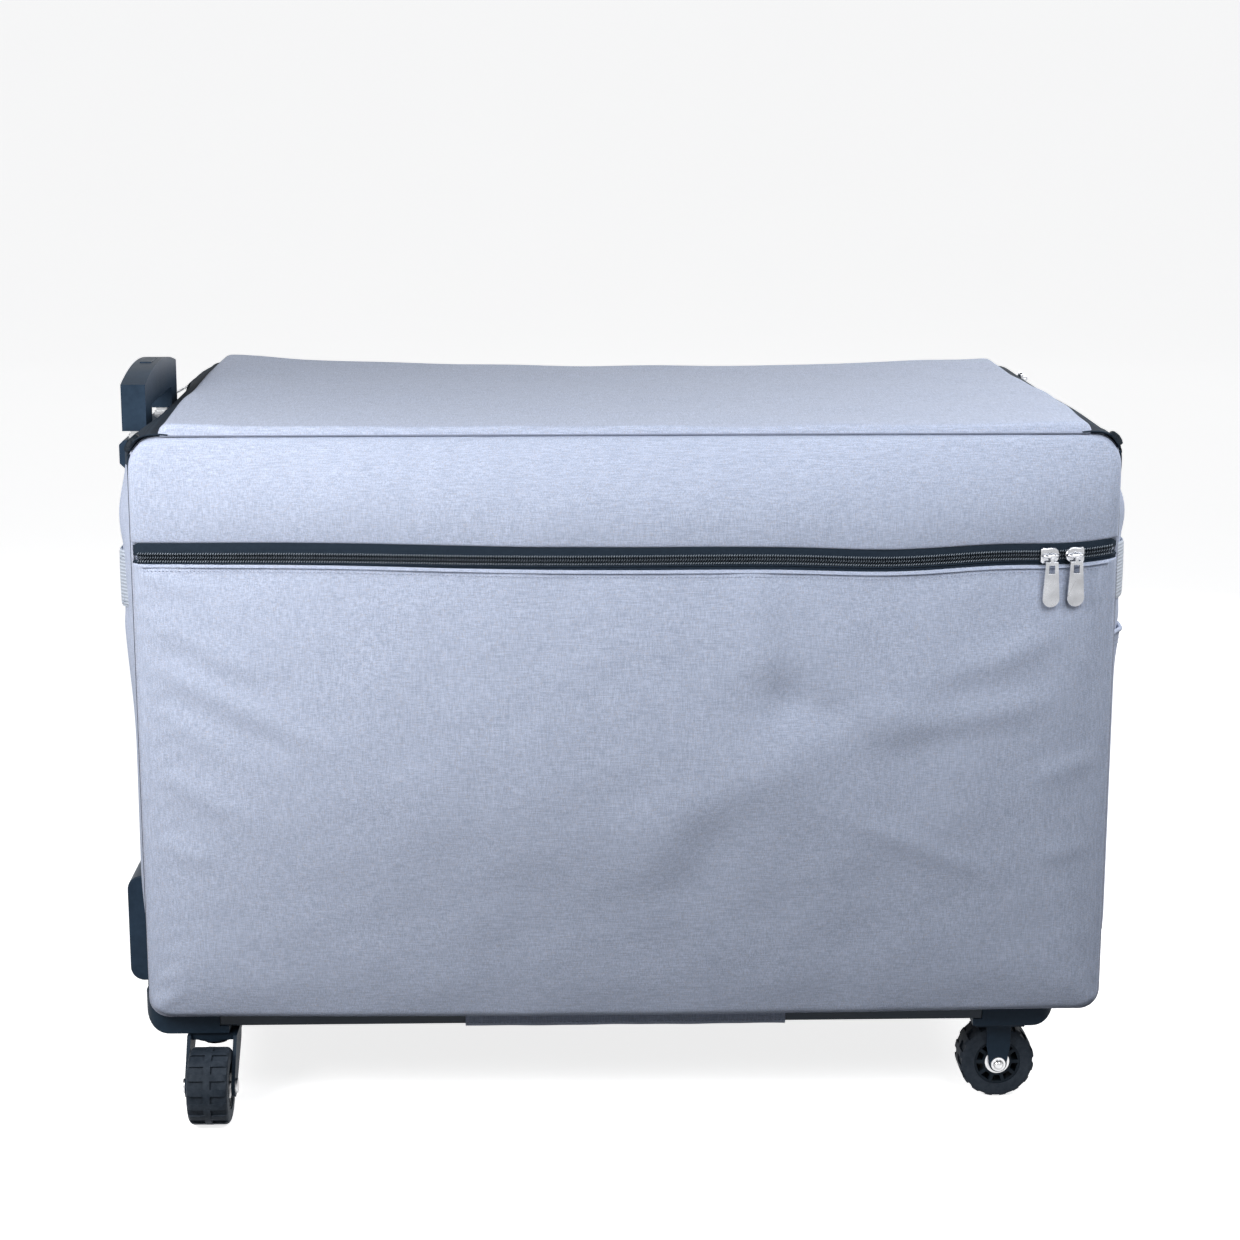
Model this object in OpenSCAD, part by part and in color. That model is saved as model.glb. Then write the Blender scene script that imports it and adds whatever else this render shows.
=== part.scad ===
// Wheeled soft case: a padded, zip-up fabric box on a low frame with four casters
// and a telescoping pull handle at its left end. Millimetres, +Z up, floor at z = 0,
// long side along X with the handle at -X, pocket side facing -Y.

/* [Soft case] */
// Width of the soft case along X
case_w = 840; // [820:5:860]
// Depth of the soft case along Y
case_d = 520; // [510:5:540]
// Height of the case's lower edge above the floor
case_bottom = 96; // [94:1:98]
// Height of the sewn seam between the lid and the front
seam_z = 612; // [606:1:620]
// Thickness of a padded wall
pad_t = 14; // [12:1:16]
// How far the middle of the front pocket stands proud
front_bulge = 30; // [24:1:34]
// Radius of the case's upper edges at both ends
edge_r = 26; // [22:1:28]
// Radius of the front panel's lower corners
low_corner_r = 16; // [12:1:24]

/* [Lid] */
// Thickness of the padded lid
lid_t = 18; // [14:1:18]

/* [Base frame] */
// Frame's left end, from the case's centre plane
base_left = 427; // [424:1:430]
// Frame's right end, from the case's centre plane
base_right = 385; // [380:1:390]
// Depth of the frame along Y
base_d = 486; // [480:2:488]
// Width of a rail
rail_w = 18; // [16:1:18]
// Underside of the rails
rail_bottom = 82; // [82:1:86]
// Top of the rails and corner brackets
frame_top = 112; // [110:1:114]
// Side length of a corner bracket
bracket_l = 74; // [72:1:80]
// Underside of the corner brackets
bracket_bottom = 75; // [75:0.5:76]

/* [Casters] */
// Wheel radius
wheel_r = 34; // [32:1:34]
// Tyre width
wheel_w = 36; // [34:1:36]
// Horizontal offset of a swivel caster's axle from its kingpin
trail = 45; // [43:1:46]
// Kingpin's distance from the frame's left end
stem_inset = 59; // [57:1:61]
// Fixed axle's distance from the frame's right end
fixed_inset = 48; // [44:1:52]

/* [Handle] */
// Length of the grip along Y
grip_l = 196; // [190:2:204]
// Distance between the two tube columns
tube_span = 156; // [150:2:160]
// Height of the grip's lower end above the floor
grip_bottom = 594; // [592:1:596]

/* [Zippers] */
// Width of the front zipper's tape
tape_h = 18; // [16:1:20]
// Length of a zipper slider
slider_l = 17; // [15:1:17]
// Length of a pull tab
pull_l = 44; // [38:1:46]

/* [Hidden] */
$fn = 64;

// Overall reach of the handle foot on the left and of the side pocket on the right
foot_reach = 460;
pocket_reach = 432;
case_x = (foot_reach - pocket_reach) / 2;

half_w = case_w / 2;
front_y = -case_d / 2;
wall_in_x = half_w - pad_t;
wall_in_y = case_d / 2 - pad_t;
case_h = seam_z - case_bottom;
edge_z = seam_z - edge_r;
edge_x = half_w - edge_r;

// Lid: a slab centred on the height of the seam it turns about
lid_low = seam_z - lid_t / 2;
lid_gap = 3;
rear_wall_top = lid_low - 1;

// Base frame
frame_y = base_d / 2;
deck_t = 4;
deck_top = frame_top + deck_t;
pad_floor_t = 8;
floor_top = deck_top + pad_floor_t;
socket_depth = 8;

// Walls from outside to inside: pad, board, lining
board_t = 3;
lining_t = 1.5;
lining_x = wall_in_x - board_t;
lining_y = wall_in_y - board_t;

// Front zipper: every bulged layer shares one vertical axis of curvature
bulge_half = half_w - 5;
bulge_r = (bulge_half * bulge_half + front_bulge * front_bulge) / (2 * front_bulge);
bulge_axis_y = front_y - front_bulge + bulge_r;
pocket_skin = 5;
zip_low = 501;
zip_high = zip_low + tape_h;
coil_h = 7;
pocket_low = 112;
upper_panel_top = seam_z - 16;
zip_mid = (zip_low + zip_high) / 2;
slider_x = [359, 380.5];
// Bridge of a slider: its height over the tape and its radius
bridge_y = 7;
bridge_r = 1.2;

// Lid zippers follow the rounded upper edges of both ends
tape_t = 1.8;
tape_half_l = wall_in_y - 2;
lid_tape_from = 36;
wall_tape_to = 33;
lid_slider_y = 236;
lid_slider_z = edge_z + 12;
lid_slider_x = half_w - 0.5;

// Casters
axle_r = 4;
bearing_r = 11;
bearing_w = 7;
rim_r = 21;
rim_w = wheel_w - 2;
running_gap = 0.05;
fork_in = wheel_w / 2 + 0.8;
fork_out = fork_in + 3.2;
crown_low = 66;
crown_top = 74;
stem_x = -base_left + stem_inset;
stem_y = frame_y - 25;
fixed_x = base_right - fixed_inset;
fixed_y = frame_y - 34;

// Handle columns: three nested tubes, 0.2 apart on every side
tube_x = -439;
tube_dx = 16;
tube_dy = 28;
tube_wall = 1.2;
slide_gap = 0.2;
mid_dx = tube_dx - 2 * tube_wall - 2 * slide_gap;
mid_dy = tube_dy - 2 * tube_wall - 2 * slide_gap;
inner_dx = mid_dx - 2 * tube_wall - 2 * slide_gap;
inner_dy = mid_dy - 2 * tube_wall - 2 * slide_gap;
tube_y = tube_span / 2;
foot_low = 78;
foot_top = 180;
foot_half = 115;
outer_tube_low = 88;
bezel_low = 560;
bezel_top = 587;
outer_tube_top = bezel_low + 15;
mid_tube_low = 100;
inner_tube_low = 112;
inner_tube_top = grip_bottom + 12;
grip_x = [-450, -428];
grip_end_top = grip_bottom + 42;
grip_crown = 11;
grip_bar_low = grip_bottom + 20;
leg_in = 62;
rod_r = 2;
crossbar_low = 628;
crossbar_t = 5;
button_travel = 4;
spring_seat = 612;

module at_case() translate([case_x, 0, 0]) children();

// Box given by its two ends on each axis
module span(x, y, z)
    translate([x[0], y[0], z[0]]) cube([x[1] - x[0], y[1] - y[0], z[1] - z[0]]);

// Raises an outline drawn in X and Z and gives it a span along Y
module along_y(y)
    translate([0, y[1], 0]) rotate([90, 0, 0]) linear_extrude(y[1] - y[0]) children();

// Raises an outline drawn in Y and Z and gives it a span along X
module along_x(x)
    translate([x[0], 0, 0]) rotate([90, 0, 90]) linear_extrude(x[1] - x[0]) children();

// ---------- Soft case ----------

// Upright panel outline, wider corner radii below than above
module panel_outline(top) {
    low = case_bottom;
    translate([-half_w, low + low_corner_r])
        square([case_w, top - low - low_corner_r - edge_r]);
    translate([-half_w + low_corner_r, low])
        square([case_w - 2 * low_corner_r, low_corner_r + 1]);
    translate([-edge_x, top - edge_r - 1]) square([2 * edge_x, edge_r + 1]);
    for (s = [-1, 1]) {
        translate([s * (half_w - low_corner_r), low + low_corner_r]) circle(low_corner_r);
        translate([s * edge_x, top - edge_r]) circle(edge_r);
    }
}

// Full height only in its outer layer, because the lid's front end rests behind that
module front_wall() color("LightSteelBlue") at_case() {
    outer_layer = 2.5;
    along_y([front_y, front_y + outer_layer]) panel_outline(seam_z);
    along_y([front_y + outer_layer, front_y + pad_t]) panel_outline(rear_wall_top);
}

module rear_wall() color("LightSteelBlue") at_case()
    along_y([-front_y - pad_t, -front_y]) panel_outline(rear_wall_top);

module left_wall() color("LightSteelBlue") at_case()
    span([-half_w, -wall_in_x], [-wall_in_y, wall_in_y], [deck_top, edge_z]);

module right_wall() color("LightSteelBlue") at_case()
    span([wall_in_x, half_w], [-wall_in_y, wall_in_y], [case_bottom + 8, edge_z]);

module floor_pad() color("SlateGray") at_case()
    span([-lining_x, lining_x], [-lining_y, lining_y], [deck_top, floor_top]);

// Stiffening boards between the pads and the lining
module wall_boards() color("DimGray") at_case() {
    for (s = [-1, 1]) {
        span([min(s * wall_in_x, s * lining_x), max(s * wall_in_x, s * lining_x)],
             [-lining_y, lining_y], [deck_top + 1, edge_z]);
        span([-lining_x, lining_x],
             [min(s * wall_in_y, s * lining_y), max(s * wall_in_y, s * lining_y)],
             [deck_top + 1, edge_z]);
    }
}

// One sewn tub, open at the top
module lining() color("Gray") at_case() difference() {
    span([-lining_x, lining_x], [-lining_y, lining_y], [floor_top, edge_z]);
    span([-lining_x + lining_t, lining_x - lining_t], [-lining_y + lining_t, lining_y - lining_t],
         [floor_top + lining_t, edge_z + 1]);
}

// Flaps that wrap under the long rails and hold the case down
module base_flaps() color("LightSteelBlue") at_case() for (s = [-1, 1]) mirror([0, s > 0 ? 1 : 0, 0]) {
    span([-143, 142], [-wall_in_y, -wall_in_y + tape_t], [rail_bottom - 2, 110]);
    span([-143, 142], [-wall_in_y, -frame_y + rail_w + 22], [rail_bottom - 2, rail_bottom - 0.2]);
}

// Plan of the bulged front, as a disc cut off at the front wall
module bulge_plan(r) intersection() {
    translate([0, bulge_axis_y]) circle(r, $fn = 720);
    translate([-bulge_half, front_y - front_bulge]) square([2 * bulge_half, front_bulge]);
}

module front_pocket_panel() color("LightSteelBlue") at_case() difference() {
    translate([0, 0, pocket_low]) linear_extrude(zip_low - pocket_low) bulge_plan(bulge_r);
    translate([0, 0, pocket_low + pocket_skin]) linear_extrude(zip_low - pocket_low)
        bulge_plan(bulge_r - pocket_skin);
}

// Thin slice of the upper panel whose middle stands proud by a given amount
module crown_slice(z, proud) {
    steps = 24;
    translate([0, 0, z]) linear_extrude(1) polygon([
        for (i = [0:steps]) let (u = 2 * i / steps - 1)
            [u * bulge_half, front_y - proud * (1 - u * u)]
    ]);
}

module front_upper_panel() color("LightSteelBlue") at_case() difference() {
    hull() {
        crown_slice(zip_high, front_bulge);
        crown_slice(upper_panel_top - 1, 4);
    }
    hull() {
        crown_slice(zip_high - 1, front_bulge - pocket_skin);
        crown_slice(upper_panel_top - 12, 2);
    }
}

// Tapes lie flush in the gap between the panels, the coil stands proud of them
module front_zipper() color("Black") at_case() {
    translate([0, 0, zip_low]) linear_extrude(tape_h) difference() {
        bulge_plan(bulge_r);
        bulge_plan(bulge_r - tape_t);
    }
    translate([0, 0, zip_mid - coil_h / 2]) linear_extrude(coil_h) intersection() {
        difference() {
            translate([0, bulge_axis_y]) circle(bulge_r + 1.5, $fn = 720);
            translate([0, bulge_axis_y]) circle(bulge_r, $fn = 720);
        }
        translate([-bulge_half + 6, front_y - front_bulge - 2])
            square([2 * bulge_half - 12, front_bulge + 2]);
    }
}

// Patch pocket on the right wall: flat below, gaping at its gathered top
module side_pocket() color("LightSteelBlue") at_case() {
    lower = 150;
    pocket_half = 225;
    top = 430;
    outer = [[half_w, lower], [426.5, lower], [426.5, 380], [pocket_reach, 392],
             [pocket_reach, top], [half_w, top]];
    inner = [[half_w - 1, lower + 6], [425, lower + 6], [425, 380.6], [430.5, 392.6],
             [430.5, top + 1], [half_w - 1, top + 1]];
    difference() {
        along_y([-pocket_half, pocket_half]) polygon(outer);
        along_y([-pocket_half + 2, pocket_half - 2]) polygon(inner);
    }
}

// Webbing strip of even thickness along a path of [along Y, out from the wall] points
module webbing(path, t, z)
    translate([0, 0, z[0]]) linear_extrude(z[1] - z[0]) polygon(concat(
        [for (p = path) [half_w + p[1], p[0]]],
        [for (i = [len(path) - 1:-1:0]) [half_w + path[i][1] + t, path[i][0]]]
    ));

// One webbing strap sewn across each end; the left one passes behind the tubes
module grab_straps() color("DimGray") at_case() {
    strap_z = [459, 509];
    strap_t = 2.5;
    gap = 11;
    mirror([1, 0, 0]) webbing([[-238, 0], [-224, 0], [-198, gap], [-132, gap], [-110, 0],
                              [110, 0], [132, gap], [198, gap], [224, 0], [238, 0]],
                             strap_t, strap_z);
    webbing([[-238, 0], [-224, 0], [-190, gap - 1.5], [190, gap - 1.5], [224, 0], [238, 0]],
            strap_t, strap_z);
}

// ---------- Lid and its zippers ----------

module lid_panel() color("LightSteelBlue") at_case() along_x([-edge_x, edge_x]) {
    nose_y = front_y + lid_gap + lid_t / 2;
    translate([nose_y, seam_z]) circle(lid_t / 2);
    translate([nose_y, lid_low]) square([-front_y - nose_y, lid_t]);
}

// Part of the tape ring on a rounded upper edge between two angles
module tape_sector(from, to) intersection() {
    difference() {
        circle(edge_r);
        circle(edge_r - tape_t);
    }
    reach = 2 * edge_r;
    polygon([[0, 0], [reach * cos(from), reach * sin(from)],
             [reach * cos((from + to) / 2), reach * sin((from + to) / 2)],
             [reach * cos(to), reach * sin(to)]]);
}

module edge_tapes(from, to) for (s = [0, 1]) mirror([s, 0, 0])
    along_y([-tape_half_l, tape_half_l]) translate([edge_x, edge_z]) tape_sector(from, to);

module lid_zipper_tapes() color("Black") at_case() edge_tapes(lid_tape_from, 90);

module wall_zipper_tapes() color("Black") at_case() edge_tapes(0, wall_tape_to);

// ---------- Zipper sliders and pulls ----------

// Slider drawn with its travel along X and its face towards -Y
module slider_body() {
    thick = 4;
    translate([0, -thick / 2, 0]) {
        cube([slider_l - 6, thick, 14], center = true);
        translate([-slider_l / 2 + 2, 0, 0]) cube([4, thick, 10], center = true);
        translate([slider_l / 2 - 2, 0, 0]) cube([4, thick, 10], center = true);
    }
    for (s = [-1, 1]) translate([s * 4.5, -thick - 2, 0]) cube([2.5, 4.4, 3], center = true);
    translate([-5, -bridge_y, 0]) rotate([0, 90, 0]) cylinder(r = bridge_r, h = 10);
}

// Pull tab hanging from the slider's bridge, an eye above and a rounded plate below
module pull_tab(length = pull_l) translate([0, -bridge_y, 0]) difference() {
    union() {
        rotate([0, 90, 0]) translate([0, 0, -1.5]) cylinder(r = 2.6, h = 3);
        translate([-1.5, -1, -6]) cube([3, 2, 5]);
        rotate([90, 0, 0]) translate([0, 0, -1]) linear_extrude(2) {
            polygon([[-5.5, -5], [5.5, -5], [7.5, -length + 7.5], [-7.5, -length + 7.5]]);
            translate([0, -length + 7.5]) circle(7.5);
        }
    }
    translate([-5, 0, 0]) rotate([0, 90, 0]) cylinder(r = bridge_r + 0.1, h = 10);
    translate([-2.5, -3, -15]) cube([5, 6, 7]);
}

// Puts a front slider on the curved tape at a distance from the centre plane
module on_front_zipper(x) translate([case_x, bulge_axis_y, zip_mid])
    rotate([0, 0, asin(x / bulge_r)]) translate([0, -bulge_r - 1.8, 0]) children();

module front_slider_left() color("Silver") on_front_zipper(slider_x[0]) slider_body();
module front_slider_right() color("Silver") on_front_zipper(slider_x[1]) slider_body();
module front_pull_left() color("Silver") on_front_zipper(slider_x[0]) pull_tab();
module front_pull_right() color("Silver") on_front_zipper(slider_x[1]) pull_tab();

// Puts a lid slider on the outer face of the wall tape at one end; s is -1 or 1
module on_lid_zipper(s) at_case() translate([s * (lid_slider_x + 0.8), lid_slider_y, lid_slider_z])
    rotate([0, 0, s * 90]) children();

module lid_slider_left() color("Silver") on_lid_zipper(-1) slider_body();
module lid_slider_right() color("Silver") on_lid_zipper(1) slider_body();

// Left tab lies out over the corner, right tab hangs straight down
left_tab_lift = 61;
lid_pull_l = 36;
module lid_pull_left() color("Silver") on_lid_zipper(-1)
    translate([0, -bridge_y, 0]) rotate([-left_tab_lift, 0, 0])
    translate([0, bridge_y, 0]) pull_tab(lid_pull_l);
module lid_pull_right() color("Silver") on_lid_zipper(1) pull_tab(lid_pull_l);

// ---------- Base frame ----------

module long_rails() color("DarkSlateGray") at_case() for (s = [-1, 1])
    span([-base_left + bracket_l - socket_depth, base_right - bracket_l + socket_depth],
         [s * (frame_y - rail_w / 2) - rail_w / 2, s * (frame_y - rail_w / 2) + rail_w / 2],
         [rail_bottom, frame_top]);

module end_rails() color("DarkSlateGray") at_case() {
    reach = frame_y - bracket_l + socket_depth;
    span([-base_left, -base_left + rail_w], [-reach, reach], [rail_bottom, frame_top]);
    span([base_right - rail_w, base_right], [-reach, reach], [rail_bottom, frame_top]);
}

// Corner bracket with its outer corner at the origin, reaching along +X and +Y
module bracket_block(height) {
    plan_r = 16;
    side_r = 22;
    intersection() {
        linear_extrude(height) {
            translate([plan_r, 0]) square([bracket_l - plan_r, bracket_l]);
            translate([0, plan_r]) square([bracket_l, bracket_l - plan_r]);
            translate([plan_r, plan_r]) circle(plan_r);
        }
        along_y([0, bracket_l]) {
            translate([side_r, 0]) square([bracket_l - side_r, height]);
            translate([0, side_r]) square([bracket_l, height - side_r]);
            translate([side_r, side_r]) circle(side_r);
        }
    }
}

// left and front are 0 or 1 and pick one of the four corners
module corner_bracket(left, front) color("DarkSlateGray") {
    corner = [case_x + (left ? -base_left : base_right), front ? -frame_y : frame_y, bracket_bottom];
    difference() {
        translate(corner) mirror([left ? 0 : 1, 0, 0]) mirror([0, front ? 0 : 1, 0])
            bracket_block(frame_top - bracket_bottom);
        long_rails();
        end_rails();
        if (left) kingpin(front ? -1 : 1);
    }
}

module bracket_front_left() corner_bracket(1, 1);
module bracket_rear_left() corner_bracket(1, 0);
module bracket_front_right() corner_bracket(0, 1);
module bracket_rear_right() corner_bracket(0, 0);

module deck_board() color("Black") at_case()
    span([-base_left + 4, base_right - 3], [-frame_y + 1, frame_y - 1], [frame_top, deck_top]);

// ---------- Casters ----------

// Kingpin with its race disc above the fork's crown and its nut below it
module kingpin(s) color("Silver") at_case() translate([stem_x, s * stem_y, 0]) {
    translate([0, 0, crown_low - 6]) cylinder(r = axle_r, h = 44);
    translate([0, 0, crown_low - 6]) cylinder(r = 11, h = 5.6);
    translate([0, 0, crown_top + 0.2]) cylinder(r = 19, h = bracket_bottom - crown_top - 0.2);
}

module kingpins() for (s = [-1, 1]) kingpin(s);

// Swivel fork at its kingpin, its arms leading to an axle along X, s is the side of the trail
module swivel_fork(s) color("DarkSlateGray") at_case() translate([stem_x, s * stem_y, 0])
    mirror([0, s > 0 ? 1 : 0, 0]) difference() {
        union() {
            translate([0, 0, crown_low]) cylinder(r = fork_out, h = crown_top - crown_low);
            span([-fork_out, fork_out], [-fork_out, 10], [crown_low + 2, crown_top]);
            for (x = [[-fork_out, -fork_in], [fork_in, fork_out]]) along_x(x) {
                polygon([[10, crown_top], [-28, crown_top], [-trail - 9.4, wheel_r + 3],
                         [-trail + 4, wheel_r - 9.1], [4, crown_low - 6]]);
                translate([-trail, wheel_r]) circle(10);
            }
        }
        translate([0, 0, crown_low - 1]) cylinder(r = axle_r + running_gap, h = 12);
        translate([-fork_out - 1, -trail, wheel_r]) rotate([0, 90, 0])
            cylinder(r = axle_r, h = 2 * fork_out + 2);
    }

module swivel_fork_front() swivel_fork(-1);
module swivel_fork_rear() swivel_fork(1);

// Axle bolt along Z with a nut on each end, domed or flat, centred on the wheel
module axle_bolt(domed = true) {
    translate([0, 0, -fork_out - 1]) cylinder(r = axle_r, h = 2 * fork_out + 2);
    for (s = [0, 1]) mirror([0, 0, s]) translate([0, 0, fork_out]) {
        cylinder(r = 6.5, h = 2);
        if (domed) intersection() {
            translate([0, 0, 1.5]) sphere(4.7);
            cylinder(r = 6.5, h = 8);
        }
    }
}

// Places a part drawn around Z on a wheel's axle: swivel wheels turn about X, fixed ones about Y
module on_swivel_axle(s) at_case() translate([stem_x, s * (stem_y + trail), wheel_r])
    rotate([0, 90, 0]) children();
module on_fixed_axle(s) at_case() translate([fixed_x, s * fixed_y, wheel_r])
    rotate([90, 0, 0]) children();

module swivel_axle_front() color("Silver") on_swivel_axle(-1) axle_bolt(false);
module swivel_axle_rear() color("Silver") on_swivel_axle(1) axle_bolt(false);
module fixed_axles() color("Silver") for (s = [-1, 1]) on_fixed_axle(s) axle_bolt();

// Fixed fork: a plate under the bracket and two arms that taper to the axle
module fixed_forks() color("DarkSlateGray") for (s = [-1, 1])
    at_case() translate([fixed_x, s * fixed_y, 0]) difference() {
        union() {
            span([-22, 22], [-fork_out - 5, fork_out + 5], [bracket_bottom - 4, bracket_bottom]);
            for (y = [[-fork_out, -fork_in], [fork_in, fork_out]]) along_y(y) {
                polygon([[-11, bracket_bottom - 1], [-10.6, 50], [-7.9, wheel_r + 1],
                         [7.9, wheel_r + 1], [10.6, 50], [11, bracket_bottom - 1]]);
                translate([0, wheel_r]) circle(8);
            }
        }
        translate([0, fork_out + 1, wheel_r]) rotate([90, 0, 0])
            cylinder(r = axle_r, h = 2 * fork_out + 2);
    }

// Spoked rim around Z with a bearing seat in each face
module rim() color("DimGray") difference() {
    windows = 10;
    cylinder(r = rim_r, h = rim_w, center = true);
    cylinder(r = 6, h = rim_w + 2, center = true);
    for (s = [0, 1]) mirror([0, 0, s]) translate([0, 0, rim_w / 2 - bearing_w])
        cylinder(r = bearing_r, h = bearing_w + 1);
    for (i = [0:windows - 1]) rotate([0, 0, (i + 0.5) * 360 / windows])
        translate([0, 0, -rim_w]) linear_extrude(2 * rim_w)
            polygon([[13, -2.6], [18.6, -4.4], [18.6, 4.4], [13, 2.6]]);
}

// Tyre with rounded shoulders and two rows of tread pockets beside a centre rib
module tyre() color("Black") {
    pockets = 16;
    pocket_depth = 2;
    shoulder = 5;
    half = wheel_w / 2;
    difference() {
        rotate_extrude($fn = 96) {
            translate([rim_r, -half]) square([wheel_r - rim_r - shoulder, wheel_w]);
            translate([rim_r, -half + shoulder])
                square([wheel_r - rim_r, wheel_w - 2 * shoulder]);
            for (s = [-1, 1]) translate([wheel_r - shoulder, s * (half - shoulder)])
                circle(shoulder);
        }
        for (i = [0:pockets - 1], s = [-1, 1]) rotate([0, 0, i * 360 / pockets])
            translate([wheel_r - pocket_depth, -3.6, s > 0 ? 3 : -half - 1])
                cube([pocket_depth + 1, 7.2, half - 2]);
    }
}

module bearings() color("Silver") for (s = [0, 1]) mirror([0, 0, s])
    translate([0, 0, rim_w / 2 - bearing_w]) difference() {
        cylinder(r = bearing_r, h = bearing_w);
        translate([0, 0, -1]) cylinder(r = axle_r + running_gap, h = bearing_w + 2);
    }

module rim_front_left() on_swivel_axle(-1) rim();
module tyre_front_left() on_swivel_axle(-1) tyre();
module bearings_front_left() on_swivel_axle(-1) bearings();
module rim_rear_left() on_swivel_axle(1) rim();
module tyre_rear_left() on_swivel_axle(1) tyre();
module bearings_rear_left() on_swivel_axle(1) bearings();
module rim_front_right() on_fixed_axle(-1) rim();
module tyre_front_right() on_fixed_axle(-1) tyre();
module bearings_front_right() on_fixed_axle(-1) bearings();
module rim_rear_right() on_fixed_axle(1) rim();
module tyre_rear_right() on_fixed_axle(1) tyre();
module bearings_rear_right() on_fixed_axle(1) bearings();

// ---------- Telescoping handle ----------

// Tube column on both sides, or the space that it fills when solid
module tube_pair(dx, dy, z, hollow = true) for (s = [-1, 1]) translate([tube_x, s * tube_y, z[0]])
    difference() {
        translate([-dx / 2, -dy / 2, 0]) cube([dx, dy, z[1] - z[0]]);
        if (hollow) translate([tube_wall - dx / 2, tube_wall - dy / 2, -1])
            cube([dx - 2 * tube_wall, dy - 2 * tube_wall, z[1] - z[0] + 2]);
    }

module handle_outer_tubes() color("Gray") at_case()
    tube_pair(tube_dx, tube_dy, [outer_tube_low, outer_tube_top]);
module handle_middle_tubes() color("Silver") at_case()
    tube_pair(mid_dx, mid_dy, [mid_tube_low, bezel_top + 3]);
module handle_inner_tubes() color("Silver") at_case()
    tube_pair(inner_dx, inner_dy, [inner_tube_low, inner_tube_top]);

// Collar that ties the tops of the outer tubes to the end wall
module handle_bezel() color("Black") at_case() difference() {
    along_y([-foot_half + 8, foot_half - 8])
        polygon([[-half_w, bezel_low], [-446, bezel_low], [-452, bezel_low + 6],
                 [-452, bezel_top - 4], [-448, bezel_top], [-half_w, bezel_top]]);
    tube_pair(tube_dx, tube_dy, [bezel_low - 1, outer_tube_top], false);
    tube_pair(mid_dx + 2 * slide_gap, mid_dy + 2 * slide_gap, [bezel_low, bezel_top + 1], false);
}

// Foot that carries the tubes on the frame's end rail, curved at its upper and lower edges
module handle_foot() color("Black") at_case() difference() {
    side_r = 13;
    along_y([-foot_half, foot_half]) {
        translate([-foot_reach, foot_low + side_r])
            square([foot_reach - base_left, foot_top - foot_low - 2 * side_r]);
        translate([-foot_reach + side_r, foot_low])
            square([foot_reach - base_left - side_r, foot_top - foot_low]);
        for (z = [foot_low + side_r, foot_top - side_r])
            translate([-foot_reach + side_r, z]) circle(side_r);
    }
    tube_pair(tube_dx, tube_dy, [outer_tube_low, foot_top + 1], false);
}

// Grip with an arched top, a finger opening below the bar and a channel for the release
module handle_grip() color("Black") at_case() {
    half = grip_l / 2;
    arch_r = (half * half + grip_crown * grip_crown) / (2 * grip_crown);
    arch_top = grip_end_top + grip_crown;
    difference() {
        along_x(grip_x) intersection() {
            translate([0, arch_top - arch_r]) circle(arch_r, $fn = 720);
            difference() {
                translate([-half, grip_bottom]) square([grip_l, arch_top - grip_bottom]);
                translate([-leg_in, grip_bottom - 1])
                    square([2 * leg_in, grip_bar_low - grip_bottom + 1]);
            }
        }
        tube_pair(inner_dx, inner_dy, [grip_bottom - 1, inner_tube_top], false);
        span([tube_x - 3.2, tube_x + 3.2], [-tube_y - 4, tube_y + 4],
             [crossbar_low - button_travel - 1, crossbar_low + crossbar_t + 1]);
        span([tube_x - 5.7, tube_x + 5.7], [-20.3, 20.3],
             [crossbar_low - button_travel - 1, arch_top + 1]);
        for (s = [-1, 1]) translate([tube_x, s * tube_y, 0]) {
            translate([0, 0, inner_tube_top - 1]) cylinder(r = rod_r + 0.4, h = 10);
            translate([0, 0, spring_seat]) cylinder(r = 5, h = crossbar_low - spring_seat);
        }
    }
}

module handle_button() color("DimGray") at_case() {
    span([tube_x - 2.8, tube_x + 2.8], [-tube_y - 3, tube_y + 3],
         [crossbar_low, crossbar_low + crossbar_t]);
    span([tube_x - 5.3, tube_x + 5.3], [-20, 20], [crossbar_low, grip_end_top + grip_crown + 0.6]);
}

module push_rods() color("Silver") at_case() for (s = [-1, 1])
    translate([tube_x, s * tube_y, inner_tube_low + 10])
        cylinder(r = rod_r, h = crossbar_low - inner_tube_low - 10);

module button_springs() color("Silver") at_case() for (s = [-1, 1])
    translate([tube_x, s * tube_y, spring_seat]) difference() {
        cylinder(r = 4.2, h = crossbar_low - spring_seat);
        translate([0, 0, -1]) cylinder(r = 3, h = crossbar_low - spring_seat + 2);
    }

long_rails();
end_rails();
bracket_front_left();
bracket_rear_left();
bracket_front_right();
bracket_rear_right();
deck_board();
floor_pad();
front_wall();
front_upper_panel();
front_pocket_panel();
rear_wall();
left_wall();
right_wall();
side_pocket();
wall_boards();
lining();
base_flaps();
front_zipper();
wall_zipper_tapes();
grab_straps();
handle_outer_tubes();
handle_bezel();
handle_foot();
fixed_forks();
fixed_axles();
kingpins();
swivel_fork_front();
swivel_axle_front();
swivel_fork_rear();
swivel_axle_rear();
rim_front_left();
tyre_front_left();
bearings_front_left();
rim_rear_left();
tyre_rear_left();
bearings_rear_left();
rim_front_right();
tyre_front_right();
bearings_front_right();
rim_rear_right();
tyre_rear_right();
bearings_rear_right();
lid_panel();
lid_zipper_tapes();
handle_middle_tubes();
handle_inner_tubes();
handle_grip();
handle_button();
push_rods();
button_springs();
front_slider_left();
front_slider_right();
front_pull_left();
front_pull_right();
lid_slider_left();
lid_slider_right();
lid_pull_left();
lid_pull_right();
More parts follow.
